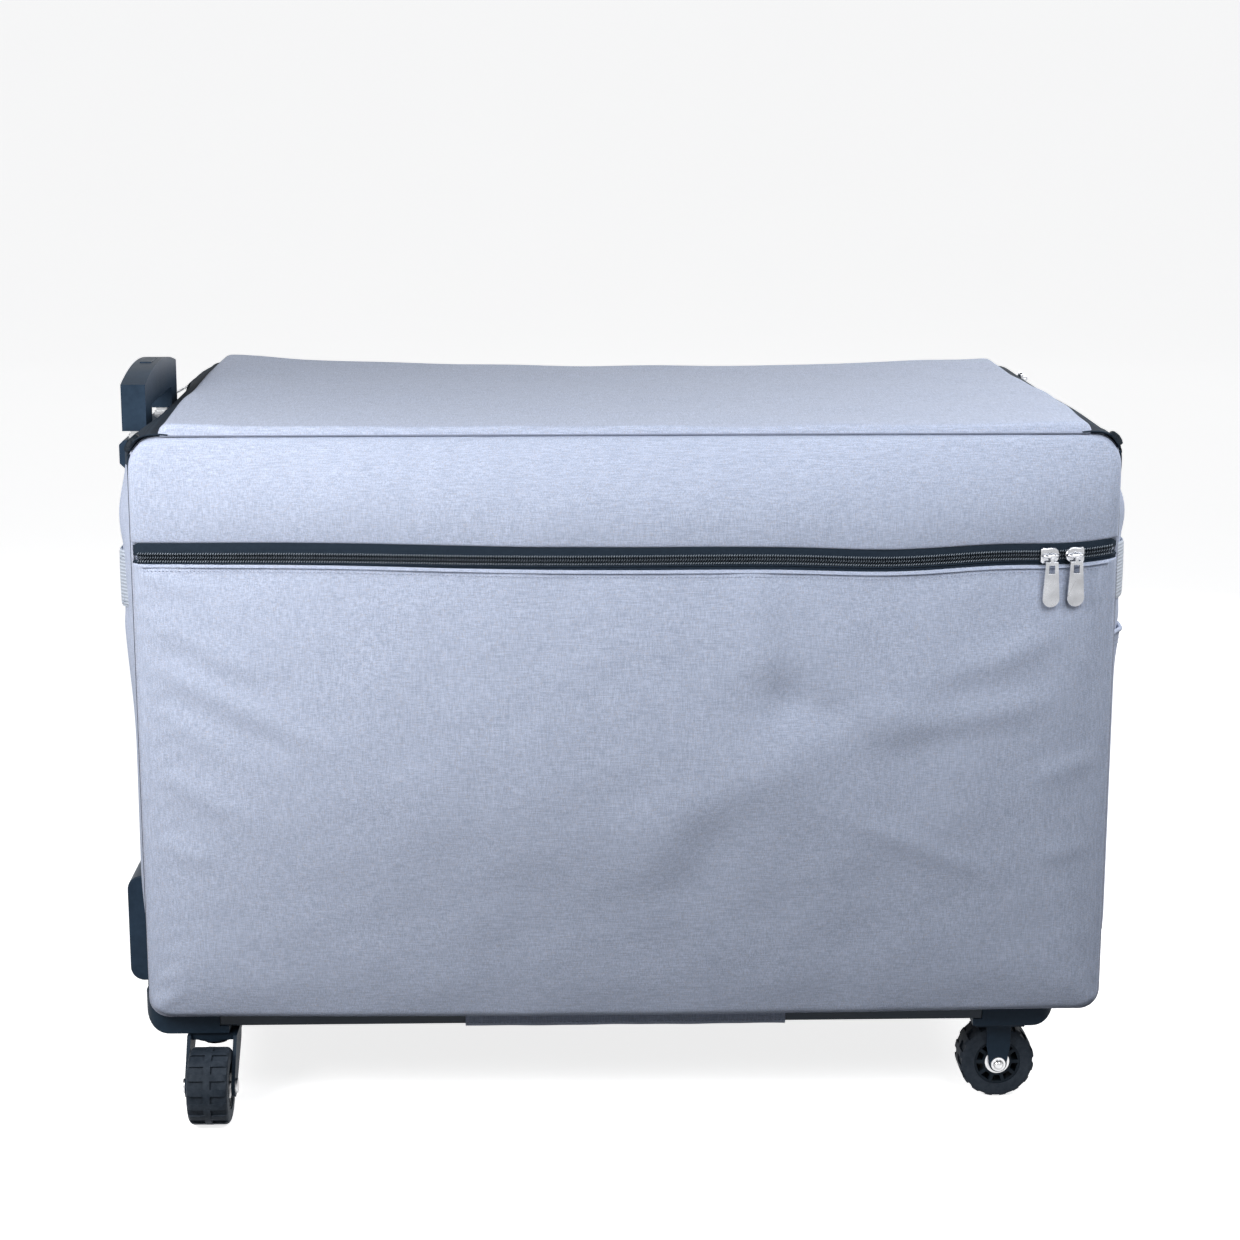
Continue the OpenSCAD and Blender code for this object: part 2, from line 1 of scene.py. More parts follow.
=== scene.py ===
"""Wheeled soft case: the visual model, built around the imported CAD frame.

Lengths inside this script are millimetres measured from the case's centre plane in X,
from the row's centre in Y and from the floor in Z. place() turns them into the frame's metres.
"""

import math

import bmesh
import bpy
import numpy as np
from mathutils import Matrix, Vector

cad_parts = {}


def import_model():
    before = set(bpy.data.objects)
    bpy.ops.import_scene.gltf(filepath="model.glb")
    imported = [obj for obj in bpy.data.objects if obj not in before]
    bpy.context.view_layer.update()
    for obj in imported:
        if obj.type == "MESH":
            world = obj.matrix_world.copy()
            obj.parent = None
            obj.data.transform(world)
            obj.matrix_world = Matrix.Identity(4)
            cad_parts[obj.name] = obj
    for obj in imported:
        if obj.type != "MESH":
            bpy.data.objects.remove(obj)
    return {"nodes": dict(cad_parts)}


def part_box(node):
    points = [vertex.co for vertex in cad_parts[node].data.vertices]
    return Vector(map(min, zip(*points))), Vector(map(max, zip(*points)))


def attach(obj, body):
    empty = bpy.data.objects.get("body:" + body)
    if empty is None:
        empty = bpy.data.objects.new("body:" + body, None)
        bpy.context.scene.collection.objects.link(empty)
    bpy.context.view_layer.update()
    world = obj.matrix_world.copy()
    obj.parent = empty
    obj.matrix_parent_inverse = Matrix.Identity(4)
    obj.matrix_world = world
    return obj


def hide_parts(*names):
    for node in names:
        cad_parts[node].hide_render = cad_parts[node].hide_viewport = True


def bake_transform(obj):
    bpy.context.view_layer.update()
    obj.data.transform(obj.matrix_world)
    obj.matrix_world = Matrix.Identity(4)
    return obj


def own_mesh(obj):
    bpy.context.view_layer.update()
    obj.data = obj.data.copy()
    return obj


MM = 0.001
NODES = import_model()["nodes"]
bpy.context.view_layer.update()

wall_low, wall_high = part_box("front_wall")
CENTRE_X = (wall_low.x + wall_high.x) / 2


def node_box(name):
    """Lowest and highest corner of a CAD node in the script's millimetres."""
    low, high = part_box(name)
    shift = Vector((CENTRE_X, 0, 0))
    return np.array(low - shift) / MM, np.array(high - shift) / MM


def place(points):
    """The script's millimetres as metres in the row frame."""
    moved = np.array(points, float) * MM
    moved[..., 0] += CENTRE_X
    return moved


# ---------- Measures read from the CAD nodes ----------

front_box = node_box("front_wall")
pocket_box = node_box("front_pocket_panel")
upper_box = node_box("front_upper_panel")
lid_box = node_box("lid_panel")
HALF = front_box[1][0]
FRONT = front_box[0][1]
LOW = front_box[0][2]
SEAM = front_box[1][2]
BACK = -FRONT
PAD = front_box[1][1] - front_box[0][1]
LID_HALF = lid_box[1][0]
EDGE_R = HALF - LID_HALF
EDGE_Z = SEAM - EDGE_R
LOW_R = 16.0
BULGE = FRONT - pocket_box[0][1]
BULGE_HALF = pocket_box[1][0]
BULGE_R = (BULGE_HALF**2 + BULGE**2) / (2 * BULGE)
ZIP_LOW = pocket_box[1][2]
ZIP_HIGH = upper_box[0][2]
ZIP_MID = (ZIP_LOW + ZIP_HIGH) / 2
REAR_TOP = node_box("rear_wall")[1][2]


# ---------- Small numeric helpers ----------


def smooth(t):
    """0 below 0, 1 above 1 and a smooth step between."""
    t = np.clip(t, 0, 1)
    return t * t * (3 - 2 * t)


def bell(distance, width):
    """1 at no distance, falling away smoothly over a width."""
    return np.exp(-((distance / width) ** 2))


def near(distance, reach):
    """1 on an edge, 0 at a reach from it and below 0 farther away."""
    return (reach - distance) / reach


SHORT_FINE = (0.0, 1.0, 2.5, 4.5, 7.5)


def spaced(low, high, step, fine=(0.0, 1.0, 2.5, 4.5, 7.5, 12.0)):
    """Positions from low to high that stand closer together near both ends."""
    fine = np.array(fine)
    count = max(2, int(round((high - low - 2 * fine[-1]) / step)) + 1)
    middle = np.linspace(low + fine[-1], high - fine[-1], count)
    return np.concatenate([low + fine[:-1], middle, (high - fine[:-1])[::-1]])


def rolled(p, q, depth):
    """How far a padded face drops towards its edges; p and q go from 0 inside to 1 at an edge."""
    p = np.clip(p, 0, 1)
    q = np.clip(q, 0, 1)
    s = np.minimum(np.sqrt(p * p + q * q), 1)
    return depth * (1 - np.sqrt(1 - s * s))


def ripple(a, b, seed, scale):
    """Smooth seeded unevenness between about -1 and 1."""
    rng = np.random.default_rng(seed)
    total = np.zeros(np.broadcast(a, b).shape)
    for _ in range(7):
        direction = rng.uniform(0, 2 * math.pi)
        wave = scale * rng.uniform(0.6, 1.7)
        phase = rng.uniform(0, 2 * math.pi)
        run = a * math.cos(direction) + b * math.sin(direction)
        total = total + np.sin(2 * math.pi * run / wave + phase)
    return total / 4


def half_width(z, top):
    """Half the width of an upright panel at a height, with its rounded corners."""
    width = np.full(np.shape(z), HALF)
    for edge, radius, side in ((top, EDGE_R, 1), (LOW, LOW_R, -1)):
        inside = np.clip(side * (z - edge) + radius, 0, radius)
        width = width - (radius - np.sqrt(np.maximum(radius**2 - inside**2, 0)))
    return width


# ---------- Mesh builders ----------


def mesh_piece(name, points, faces, material, millimetres=True):
    """A mesh object with smooth faces and outward normals."""
    mesh = bpy.data.meshes.new(name)
    where = place(points) if millimetres else np.array(points)
    mesh.from_pydata([tuple(p) for p in where], [], [tuple(f) for f in faces])
    build = bmesh.new()
    build.from_mesh(mesh)
    bmesh.ops.recalc_face_normals(build, faces=build.faces)
    for face in build.faces:
        face.smooth = True
    build.to_mesh(mesh)
    build.free()
    mesh.materials.append(material)
    piece = bpy.data.objects.new(name, mesh)
    bpy.context.scene.collection.objects.link(piece)
    return piece


def slab_faces(rows, cols, start):
    """Faces of a closed panel between an outer and an inner grid of points."""
    size = rows * cols

    def at(side, i, j):
        return start + side * size + i * cols + j

    faces = []
    for i in range(rows - 1):
        for j in range(cols - 1):
            faces.append((at(0, i, j), at(0, i, j + 1), at(0, i + 1, j + 1), at(0, i + 1, j)))
            faces.append((at(1, i, j), at(1, i + 1, j), at(1, i + 1, j + 1), at(1, i, j + 1)))
    ring = [(0, j) for j in range(cols - 1)]
    ring += [(i, cols - 1) for i in range(rows - 1)]
    ring += [(rows - 1, j) for j in range(cols - 1, 0, -1)]
    ring += [(i, 0) for i in range(rows - 1, 0, -1)]
    for a, b in zip(ring, ring[1:] + ring[:1]):
        faces.append((at(0, *b), at(0, *a), at(1, *a), at(1, *b)))
    return faces


def slab(name, outer, inner, material):
    """Closed panel between two grids of points of the same shape."""
    return slabs(name, [(outer, inner)], material)


def pad(name, a, b, outer, inner):
    """Padded panel between two surfaces, with its holding weights for the simulation."""
    return slab(name, grid(a, b, outer), grid(a, b, inner), CASE), grid_held(len(b), len(a))


def flat_side(y, top, inset=0.0):
    """Flat upright side of a panel at a depth; top is the panel's height."""
    return lambda u, z: (u * (half_width(z, top) - inset), y + 0 * u, z)


def slabs(name, pairs, material):
    """Several closed panels in one piece."""
    points = []
    faces = []
    count = 0
    for outer, inner in pairs:
        rows, cols = outer.shape[:2]
        faces += slab_faces(rows, cols, count)
        points += [outer.reshape(-1, 3), inner.reshape(-1, 3)]
        count += 2 * rows * cols
    return mesh_piece(name, np.concatenate(points), faces, material)


def grid(a, b, point):
    """Points point(a, b) on a grid with rows along b and columns along a."""
    made = point(*np.meshgrid(a, b))
    if isinstance(made, tuple):
        made = np.stack(np.broadcast_arrays(*made), axis=-1)
    return made.astype(float)


def layers(a, b, point, outer, inner):
    """Grids of point(a, b, level) at an outer and an inner level."""
    return [grid(a, b, lambda p, q: point(p, q, level)) for level in (outer, inner)]


def tube(name, lines, radius, material, sides=8, closed=False):
    """Round cords along lines of points, all in one piece."""
    points = []
    faces = []
    for line in lines:
        line = np.array(line, float)
        ahead = np.roll(line, -1, 0) - np.roll(line, 1, 0)
        if not closed:
            ahead[0] = line[1] - line[0]
            ahead[-1] = line[-1] - line[-2]
        ahead /= np.linalg.norm(ahead, axis=1)[:, None]
        normal = np.cross(ahead[0], (0.31, 0.17, 0.93))
        first = len(points)
        for centre, along in zip(line, ahead):
            normal = normal - along * normal.dot(along)
            normal /= np.linalg.norm(normal)
            side = np.cross(along, normal)
            for s in range(sides):
                turn = 2 * math.pi * s / sides
                offset = normal * math.cos(turn) + side * math.sin(turn)
                points.append(centre + radius * offset)
        rings = len(line)
        for k in range(rings if closed else rings - 1):
            here = first + k * sides
            there = first + (k + 1) % rings * sides
            for s in range(sides):
                t = (s + 1) % sides
                faces.append((here + s, here + t, there + t, there + s))
        if not closed:
            for start in (first, first + (rings - 1) * sides):
                faces.append(tuple(range(start, start + sides)))
    return mesh_piece(name, np.array(points), faces, material)


def bead_shape(rings, sides):
    """Template of a small rounded bead whose long axis is its first coordinate."""
    points = [(-1.0, 0.0, 0.0)]
    for r in range(1, rings + 1):
        angle = math.pi * r / (rings + 1)
        for s in range(sides):
            turn = 2 * math.pi * s / sides
            reach = math.sin(angle) ** 0.6
            points.append((-math.cos(angle), reach * math.cos(turn), reach * math.sin(turn)))
    points.append((1.0, 0.0, 0.0))
    faces = []
    last = len(points) - 1
    for s in range(sides):
        t = (s + 1) % sides
        faces.append((0, 1 + t, 1 + s))
        for r in range(rings - 1):
            a = 1 + r * sides
            faces.append((a + s, a + t, a + sides + t, a + sides + s))
        a = 1 + (rings - 1) * sides
        faces.append((a + s, a + t, last))
    return np.array(points), faces


def beads(name, rows, size, material, rings, sides):
    """Small beads, such as zipper teeth or stitches; size is half of each extent.

    Each row has its centres, the beads' long direction and their outward direction.
    """
    shape, shape_faces = bead_shape(rings, sides)
    centres, along, out = (
        np.concatenate([np.broadcast_to(row[k], np.shape(row[0])) for row in rows])
        for k in range(3))
    along = along / np.linalg.norm(along, axis=1)[:, None]
    out = out - along * np.sum(out * along, axis=1)[:, None]
    out = out / np.linalg.norm(out, axis=1)[:, None]
    axes = np.stack([along, np.cross(along, out), out], axis=1)
    points = (centres[:, None, :] + (shape * np.array(size)) @ axes).reshape(-1, 3)
    faces = []
    for k in range(len(centres)):
        start = k * len(shape)
        faces += [tuple(start + i for i in face) for face in shape_faces]
    return mesh_piece(name, points, faces, material)


def walked(line, pitch):
    """Points and directions at an even pitch along a line of points."""
    line = np.array(line, float)
    steps = np.linalg.norm(np.diff(line, axis=0), axis=1)
    run = np.concatenate([[0], np.cumsum(steps)])
    count = max(2, int(run[-1] / pitch))
    at = (np.arange(count) + 0.5) * run[-1] / count

    def points_at(shift):
        return np.stack([np.interp(at + shift, run, line[:, k]) for k in range(3)], axis=1)

    return points_at(0), points_at(0.5) - points_at(-0.5)


def stitched(name, lines, outs, pitch, length, thick):
    """Rows of stitches along lines; each row has one outward direction."""
    rows = [(*walked(line, pitch), out) for line, out in zip(lines, outs)]
    return beads(name, rows, (length / 2, thick / 2, thick / 2), THREAD, 2, 5)


def bevelled(piece, width, segments, angle):
    """Rounds the edges of a piece that are sharper than an angle in degrees."""
    edges = piece.modifiers.new("Edges", "BEVEL")
    edges.width = width * MM
    edges.segments = segments
    edges.limit_method = "ANGLE"
    edges.angle_limit = math.radians(angle)
    return edges


def softened(node, material, width, segments):
    """Copy of a CAD node with rounded edges, standing in for the node itself."""
    source = NODES[node]
    build = bmesh.new()
    build.from_mesh(source.data)
    bmesh.ops.remove_doubles(build, verts=build.verts, dist=1e-6)
    flat = math.radians(0.6)
    bmesh.ops.dissolve_limit(build, angle_limit=flat, verts=build.verts, edges=build.edges)
    build.verts.ensure_lookup_table()
    points = [tuple(v.co) for v in build.verts]
    faces = [tuple(v.index for v in f.verts) for f in build.faces]
    build.free()
    piece = mesh_piece(node + "_shown", points, faces, material, millimetres=False)
    bevelled(piece, width, segments, 28).harden_normals = True
    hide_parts(node)
    return piece


def subdivided(piece):
    """Smooths a piece with one level of subdivision."""
    soft = piece.modifiers.new("Soft", "SUBSURF")
    soft.levels = 1
    soft.render_levels = 1


def grid_held(rows, cols):
    """Holding weights for a slab: all of its inner side and the outer side's border."""
    border = 2
    held = np.ones((2, rows, cols))
    held[0, border:-border, border:-border] = 0
    held[0, border : border + 2, border:-border] = 0.5
    held[0, -border - 2 : -border, border:-border] = 0.5
    return held.reshape(-1)


def vertices(mesh):
    """Positions of a mesh's vertices, in metres."""
    co = np.zeros(len(mesh.vertices) * 3)
    mesh.vertices.foreach_get("co", co)
    return co.reshape(-1, 3)


def set_vertices(mesh, co):
    """Puts a mesh's vertices at positions in metres."""
    mesh.vertices.foreach_set("co", co.ravel())
    mesh.update()


def swell(pads, caps):
    """Inflates padded panels in one short cloth simulation and keeps the result.

    Each pad is a piece and its holding weights; its cap is how far a point may move.
    """
    pressure = 4.0
    frames = 20
    scene = bpy.context.scene
    for piece, held in pads:
        group = piece.vertex_groups.new(name="held")
        for weight in np.unique(held[held > 0]):
            chosen = [int(i) for i in np.nonzero(held == weight)[0]]
            group.add(chosen, float(weight), "REPLACE")
        cloth = piece.modifiers.new("Swell", "CLOTH")
        cloth.settings.quality = 4
        cloth.settings.mass = 0.3
        cloth.settings.use_pressure = True
        cloth.settings.uniform_pressure_force = pressure
        cloth.settings.effector_weights.gravity = 0
        cloth.settings.vertex_group_mass = "held"
        cloth.collision_settings.use_collision = False
        cloth.point_cache.frame_start = 1
        cloth.point_cache.frame_end = frames
    for step in range(1, frames + 1):
        scene.frame_set(step)
    graph = bpy.context.evaluated_depsgraph_get()
    for (piece, _), cap in zip(pads, caps):
        rest = vertices(piece.data)
        shift = vertices(piece.evaluated_get(graph).data) - rest
        far = np.linalg.norm(shift, axis=1)
        limit = cap * MM
        shift *= (limit * np.tanh(far / limit) / np.maximum(far, 1e-9))[:, None]
        piece.modifiers.remove(piece.modifiers["Swell"])
        piece.vertex_groups.clear()
        set_vertices(piece.data, rest + shift)
    scene.frame_set(1)


def displaced(piece, move):
    """Moves the vertices by move(x, y, z) -> (dx, dy, dz), all in the script's millimetres."""
    co = vertices(piece.data)
    x, y, z = ((co - (CENTRE_X, 0, 0)) / MM).T
    set_vertices(piece.data, co + np.stack(move(x, y, z), axis=1) * MM)


# ---------- Materials ----------


class Surface:
    """One procedural material and the nodes that make it."""

    def __init__(self, name, rough, metal=0.0):
        self.material = bpy.data.materials.new(name)
        self.material.use_nodes = True
        self.tree = self.material.node_tree
        self.shader = self.tree.nodes["Principled BSDF"]
        self.shader.inputs["Roughness"].default_value = rough
        self.shader.inputs["Metallic"].default_value = metal
        self.place = self.tree.nodes.new("ShaderNodeTexCoord").outputs["Object"]

    def put(self, socket, value):
        if isinstance(value, bpy.types.NodeSocket):
            self.tree.links.new(value, socket)
        else:
            socket.default_value = value

    def node(self, kind, result, inputs, **settings):
        """One output of a new node with its settings made and its inputs set or linked."""
        made = self.tree.nodes.new("ShaderNode" + kind)
        for name, value in settings.items():
            setattr(made, name, value)
        for name, value in inputs.items():
            self.put(made.inputs[name], value)
        return made.outputs[result]

    def mapped(self, stretch):
        return self.node("Mapping", "Vector", {"Vector": self.place, "Scale": stretch})

    def noise(self, scale, detail=2.0, rough=0.5, stretch=(1, 1, 1)):
        return self.node("TexNoise", "Fac", {"Vector": self.mapped(stretch), "Scale": scale,
                                             "Detail": detail, "Roughness": rough})

    def wave(self, axis, per_metre):
        """Bands across an axis; Blender's wave texture has 20 / (2 pi) of them at scale 1."""
        scale = per_metre / 20 * 2 * math.pi
        return self.node("TexWave", "Fac", {"Vector": self.place, "Scale": scale},
                         bands_direction=axis)

    def maths(self, kind, a, b):
        return self.node("Math", 0, {0: a, 1: b}, operation=kind)

    def weighed(self, *parts):
        """Sum of values, each multiplied by its weight."""
        total, *others = [self.maths("MULTIPLY", value, weight) for value, weight in parts]
        for term in others:
            total = self.maths("ADD", total, term)
        return total

    def ramp(self, value, low, high):
        """A value from low to high as a share from 0 to 1."""
        return self.node("MapRange", "Result", {"Value": value, "From Min": low, "From Max": high})

    def mixed(self, share, a, b):
        """Mix of two colours, each a node's output or three numbers."""
        a, b = (c if isinstance(c, bpy.types.NodeSocket) else (*c, 1) for c in (a, b))
        return self.node("Mix", "Result", {"Factor": share, "A": a, "B": b}, data_type="RGBA")

    def colour(self, value):
        self.put(self.shader.inputs["Base Color"], value)

    def roughness(self, value, low, high):
        spread = self.node("MapRange", "Result", {"Value": value, "To Min": low, "To Max": high})
        self.put(self.shader.inputs["Roughness"], spread)

    def gloss(self, **inputs):
        """Sets further inputs of the shader, named with _ for a space."""
        for name, value in inputs.items():
            self.shader.inputs[name.replace("_", " ")].default_value = value

    def bump(self, height, distance, strength):
        """Adds a bump in millimetres on top of those already there."""
        inputs = {"Strength": strength, "Distance": distance * MM, "Height": height}
        normal = self.shader.inputs["Normal"]
        if normal.is_linked:
            inputs["Normal"] = normal.links[0].from_socket
        self.put(normal, self.node("Bump", "Normal", inputs))


def heather(name, base, dark, light, warm):
    """Woven polyester of mixed light and dark yarns that run along all three axes."""
    s = Surface(name, 0.82)
    long_way = 85
    cross_way = 1750
    runs_x = s.noise(1, 2.0, 0.55, (long_way, cross_way, cross_way))
    runs_y = s.noise(1, 2.0, 0.55, (cross_way, long_way, cross_way))
    runs_z = s.noise(1, 2.0, 0.55, (cross_way, cross_way, long_way * 1.3))
    threads = s.weighed((runs_x, 1), (runs_y, 1), (runs_z, 1))
    ground = s.mixed(s.ramp(threads, 1.30, 1.72), dark, light)
    ground = s.mixed(s.ramp(s.noise(16), 0.3, 0.7), ground, s.mixed(0.15, ground, base))
    warm_share = s.weighed((s.ramp(s.noise(900, 1.0), 0.56, 0.72), 0.45))
    s.colour(s.mixed(warm_share, ground, warm))
    s.bump(threads, 0.06, 0.4)
    s.bump(s.weighed(*((s.wave(axis, 1400), 1) for axis in "XYZ")), 0.05, 0.35)
    s.bump(s.noise(45), 0.07, 0.25)
    s.gloss(Sheen_Weight=0.10, Sheen_Roughness=0.45, Sheen_Tint=(0.86, 0.91, 1.0, 1),
            Specular_IOR_Level=0.25)
    return s.material


def woven_dark(name, dark, light, pitch, sheen=0.0):
    """Close-woven tape or lining with a fine twill."""
    s = Surface(name, 0.75)
    mix = s.weighed((s.wave("DIAGONAL", pitch), 0.3), (s.wave("Z", pitch * 0.8), 0.3),
                    (s.noise(420, 2.0, 0.6), 0.4))
    s.colour(s.mixed(s.ramp(mix, 0.2, 0.8), dark, light))
    s.bump(mix, 0.18, 0.6)
    s.gloss(Specular_IOR_Level=0.12, Sheen_Weight=sheen, Sheen_Roughness=0.5)
    return s.material


def ribbed_webbing(name, dark, light):
    """Polyester webbing with ribs along its length."""
    s = Surface(name, 0.7)
    ribs = s.wave("Z", 330)
    picks = s.wave("Y", 620)
    mix = s.weighed((ribs, 0.6), (picks, 0.25), (s.noise(500, 2.0, 0.6), 0.3))
    s.colour(s.mixed(s.ramp(mix, 0.2, 1.0), dark, light))
    s.bump(ribs, 0.5, 0.8)
    s.bump(picks, 0.2, 0.5)
    s.gloss(Sheen_Weight=0.3)
    return s.material


def moulded(name, dark, light, rough, grain=0.10, scale=900):
    """Moulded plastic or rubber with a spark-eroded grain, dust and light wear."""
    s = Surface(name, rough)
    fine = s.noise(scale, 3.0, 0.6)
    broad = s.noise(22, 3.0, 0.55)
    tone = s.weighed((broad, 0.6), (s.noise(160, 3.0, 0.7), 0.4))
    s.colour(s.mixed(s.ramp(tone, 0.36, 0.66), dark, light))
    s.roughness(s.weighed((fine, 0.5), (broad, 0.5)), rough - 0.14, rough + 0.16)
    s.bump(fine, grain, 0.5)
    s.bump(broad, 0.15, 0.3)
    s.gloss(Specular_IOR_Level=0.09)
    return s.material


def metal(name, colour, rough, stretch=(1, 1, 1), scratch=0.02, darker=0.7):
    """Plated or drawn metal with fine lines and a clouded shine."""
    s = Surface(name, rough, metal=1.0)
    lines = s.noise(900, 3.0, 0.6, stretch)
    cloud = s.noise(60, 3.0, 0.6)
    s.colour(s.mixed(s.ramp(cloud, 0.3, 0.7), tuple(c * darker for c in colour), colour))
    s.roughness(s.weighed((lines, 0.5), (cloud, 0.5)), rough - 0.12, rough + 0.14)
    s.bump(lines, scratch, 0.5)
    return s.material


def painted(name, dark, light, rough=0.42):
    """Powder-coated steel with orange peel and slight wear."""
    s = Surface(name, rough)
    broad = s.noise(18, 3.0, 0.6)
    s.colour(s.mixed(s.ramp(broad, 0.35, 0.68), dark, light))
    s.roughness(broad, rough - 0.1, rough + 0.14)
    s.bump(s.noise(520), 0.12, 0.5)
    s.gloss(Specular_IOR_Level=0.2)
    return s.material


CASE = heather("case_heather", (0.405, 0.457, 0.588), (0.318, 0.366, 0.487), (0.518, 0.577, 0.725),
               (0.45, 0.41, 0.42))
WELT = heather("welt_heather", (0.38, 0.42, 0.53), (0.29, 0.32, 0.42), (0.50, 0.54, 0.66),
               (0.42, 0.38, 0.39))
# painted shade: near-black weave for the cord that stands in for the shadow in the gap beside the piping
SEAM_SHADOW_DARK = woven_dark("seam_gap_painted_shadow", (0.020, 0.026, 0.038), (0.05, 0.06, 0.08), 1500)
THREAD = woven_dark("seam_thread", (0.17, 0.195, 0.26), (0.30, 0.33, 0.42), 2400)
# light colour for beads that are the coil's sewing and painted glints on its teeth
COIL_THREAD_GLINT = woven_dark("coil_thread_glint", (0.14, 0.17, 0.21), (0.34, 0.38, 0.43), 2600)
TAPE = woven_dark("zipper_tape_weave", (0.006, 0.012, 0.021), (0.022, 0.036, 0.056), 1300)
COIL = moulded("zipper_coil_nylon", (0.005, 0.008, 0.013), (0.020, 0.028, 0.038), 0.34, 0.02)
LINING = woven_dark("lining_weave", (0.050, 0.058, 0.074), (0.095, 0.105, 0.128), 1500, 0.1)
WEBBING = ribbed_webbing("strap_webbing", (0.30, 0.345, 0.42), (0.52, 0.58, 0.68))
BOARD = moulded("stiffener_board", (0.02, 0.022, 0.026), (0.045, 0.048, 0.055), 0.6)
FRAME = moulded("frame_plastic_grain", (0.011, 0.021, 0.035), (0.018, 0.033, 0.053), 0.5, 0.12)
HANDLE = moulded("handle_plastic_grain", (0.015, 0.029, 0.050), (0.026, 0.047, 0.078), 0.40, 0.08)
WHEEL = moulded("wheel_plastic_grain", (0.005, 0.010, 0.016), (0.014, 0.021, 0.030), 0.48, 0.08)
RUBBER = moulded("tyre_rubber", (0.016, 0.023, 0.033), (0.050, 0.062, 0.080), 0.6, 0.16, 600)
RAIL = painted("rail_powder_coat", (0.005, 0.010, 0.017), (0.013, 0.021, 0.032))
TUBE_DARK = painted("outer_tube_coat", (0.010, 0.014, 0.022), (0.022, 0.030, 0.042), 0.36)
ALU = metal("tube_aluminium", (0.74, 0.75, 0.77), 0.30, (1, 1, 0.03))
STEEL = metal("plated_steel", (0.66, 0.66, 0.67), 0.30)
NICKEL = metal("slider_nickel", (0.62, 0.63, 0.66), 0.25, (1, 1, 1), 0.01, 0.72)


def dress(material, *names):
    """Gives CAD nodes that stay as they are their material."""
    for name in names:
        mesh = NODES[name].data
        mesh.materials.clear()
        mesh.materials.append(material)


# ---------- Padded case panels ----------


def crown(x):
    """How far the bulged front stands proud at a distance from the centre plane."""
    x = np.clip(np.abs(x), 0, BULGE_HALF)
    return np.sqrt(BULGE_R**2 - x**2) - (BULGE_R - BULGE)


# Folds of the pocket cloth: start, end, height and width; a positive height stands proud
FOLDS = [
    ((100, 505), (123, 393), 3.2, 15),
    ((123, 393), (197, 371), -3.0, 16),
    ((197, 371), (395, 452), 3.4, 14),
    ((205, 360), (392, 385), 2.6, 13),
    ((215, 385), (324, 414), -2.2, 11),
    ((160, 366), (-40, 205), 2.4, 30),
    ((120, 300), (20, 190), -1.6, 34),
    ((190, 282), (336, 219), 1.6, 8),
    ((-410, 494), (-352, 481), 1.6, 7),
    ((-407, 456), (-291, 404), 1.5, 9),
    ((-404, 417), (-230, 338), 1.6, 10),
    ((-402, 374), (-306, 320), 1.3, 8),
    ((-403, 321), (-316, 276), 1.7, 9),
    ((-406, 259), (-351, 241), 1.4, 8),
    ((-408, 436), (-300, 385), -1.1, 8),
    ((-406, 396), (-260, 330), -1.1, 8),
    ((412, 330), (345, 312), 1.5, 9),
    ((412, 250), (350, 240), 1.2, 8),
]
DIMPLES = [((130, 384), 3.0, 33), ((70, 264), 2.4, 24), ((-6, 310), 2.0, 26), ((240, 330), 2.5, 40)]


def folds(x, z):
    """Height of the pocket's folds and dimples at a point of its front."""
    total = np.zeros(np.shape(x))
    for start, end, height, width in FOLDS:
        run = np.array(end, float) - np.array(start, float)
        length = np.hypot(*run)
        along = ((x - start[0]) * run[0] + (z - start[1]) * run[1]) / length
        across = ((x - start[0]) * -run[1] + (z - start[1]) * run[0]) / length
        taper = smooth(along / (0.3 * length) + 0.35) * smooth((length - along) / (0.35 * length))
        total += height * bell(across, width) * taper
    for spot, depth, width in DIMPLES:
        total -= depth * bell(np.hypot(x - spot[0], z - spot[1]), width)
    return total


def pocket_profile(z):
    """Share of the full bulge at a height on the pocket, slacker towards the bottom."""
    h = (ZIP_LOW - z) / (ZIP_LOW - LOW)
    return 1 + 0.10 * np.sin(math.pi * np.clip(h / 0.7, 0, 1)) - 0.70 * smooth((h - 0.42) / 0.58)


def zip_rise(x):
    """The zipper's opening is a little taller in the middle."""
    return 1 - (np.clip(x, -BULGE_HALF, BULGE_HALF) / BULGE_HALF) ** 2


def zip_wave(x):
    """The zipper wanders up and down along the front."""
    return (1.5 + 3.2 * bell(x + 265, 150) - 4.2 * bell(x - 225, 75) - 1.8 * bell(x - 368, 40)
            + 2.5 * bell(x - 425, 24))


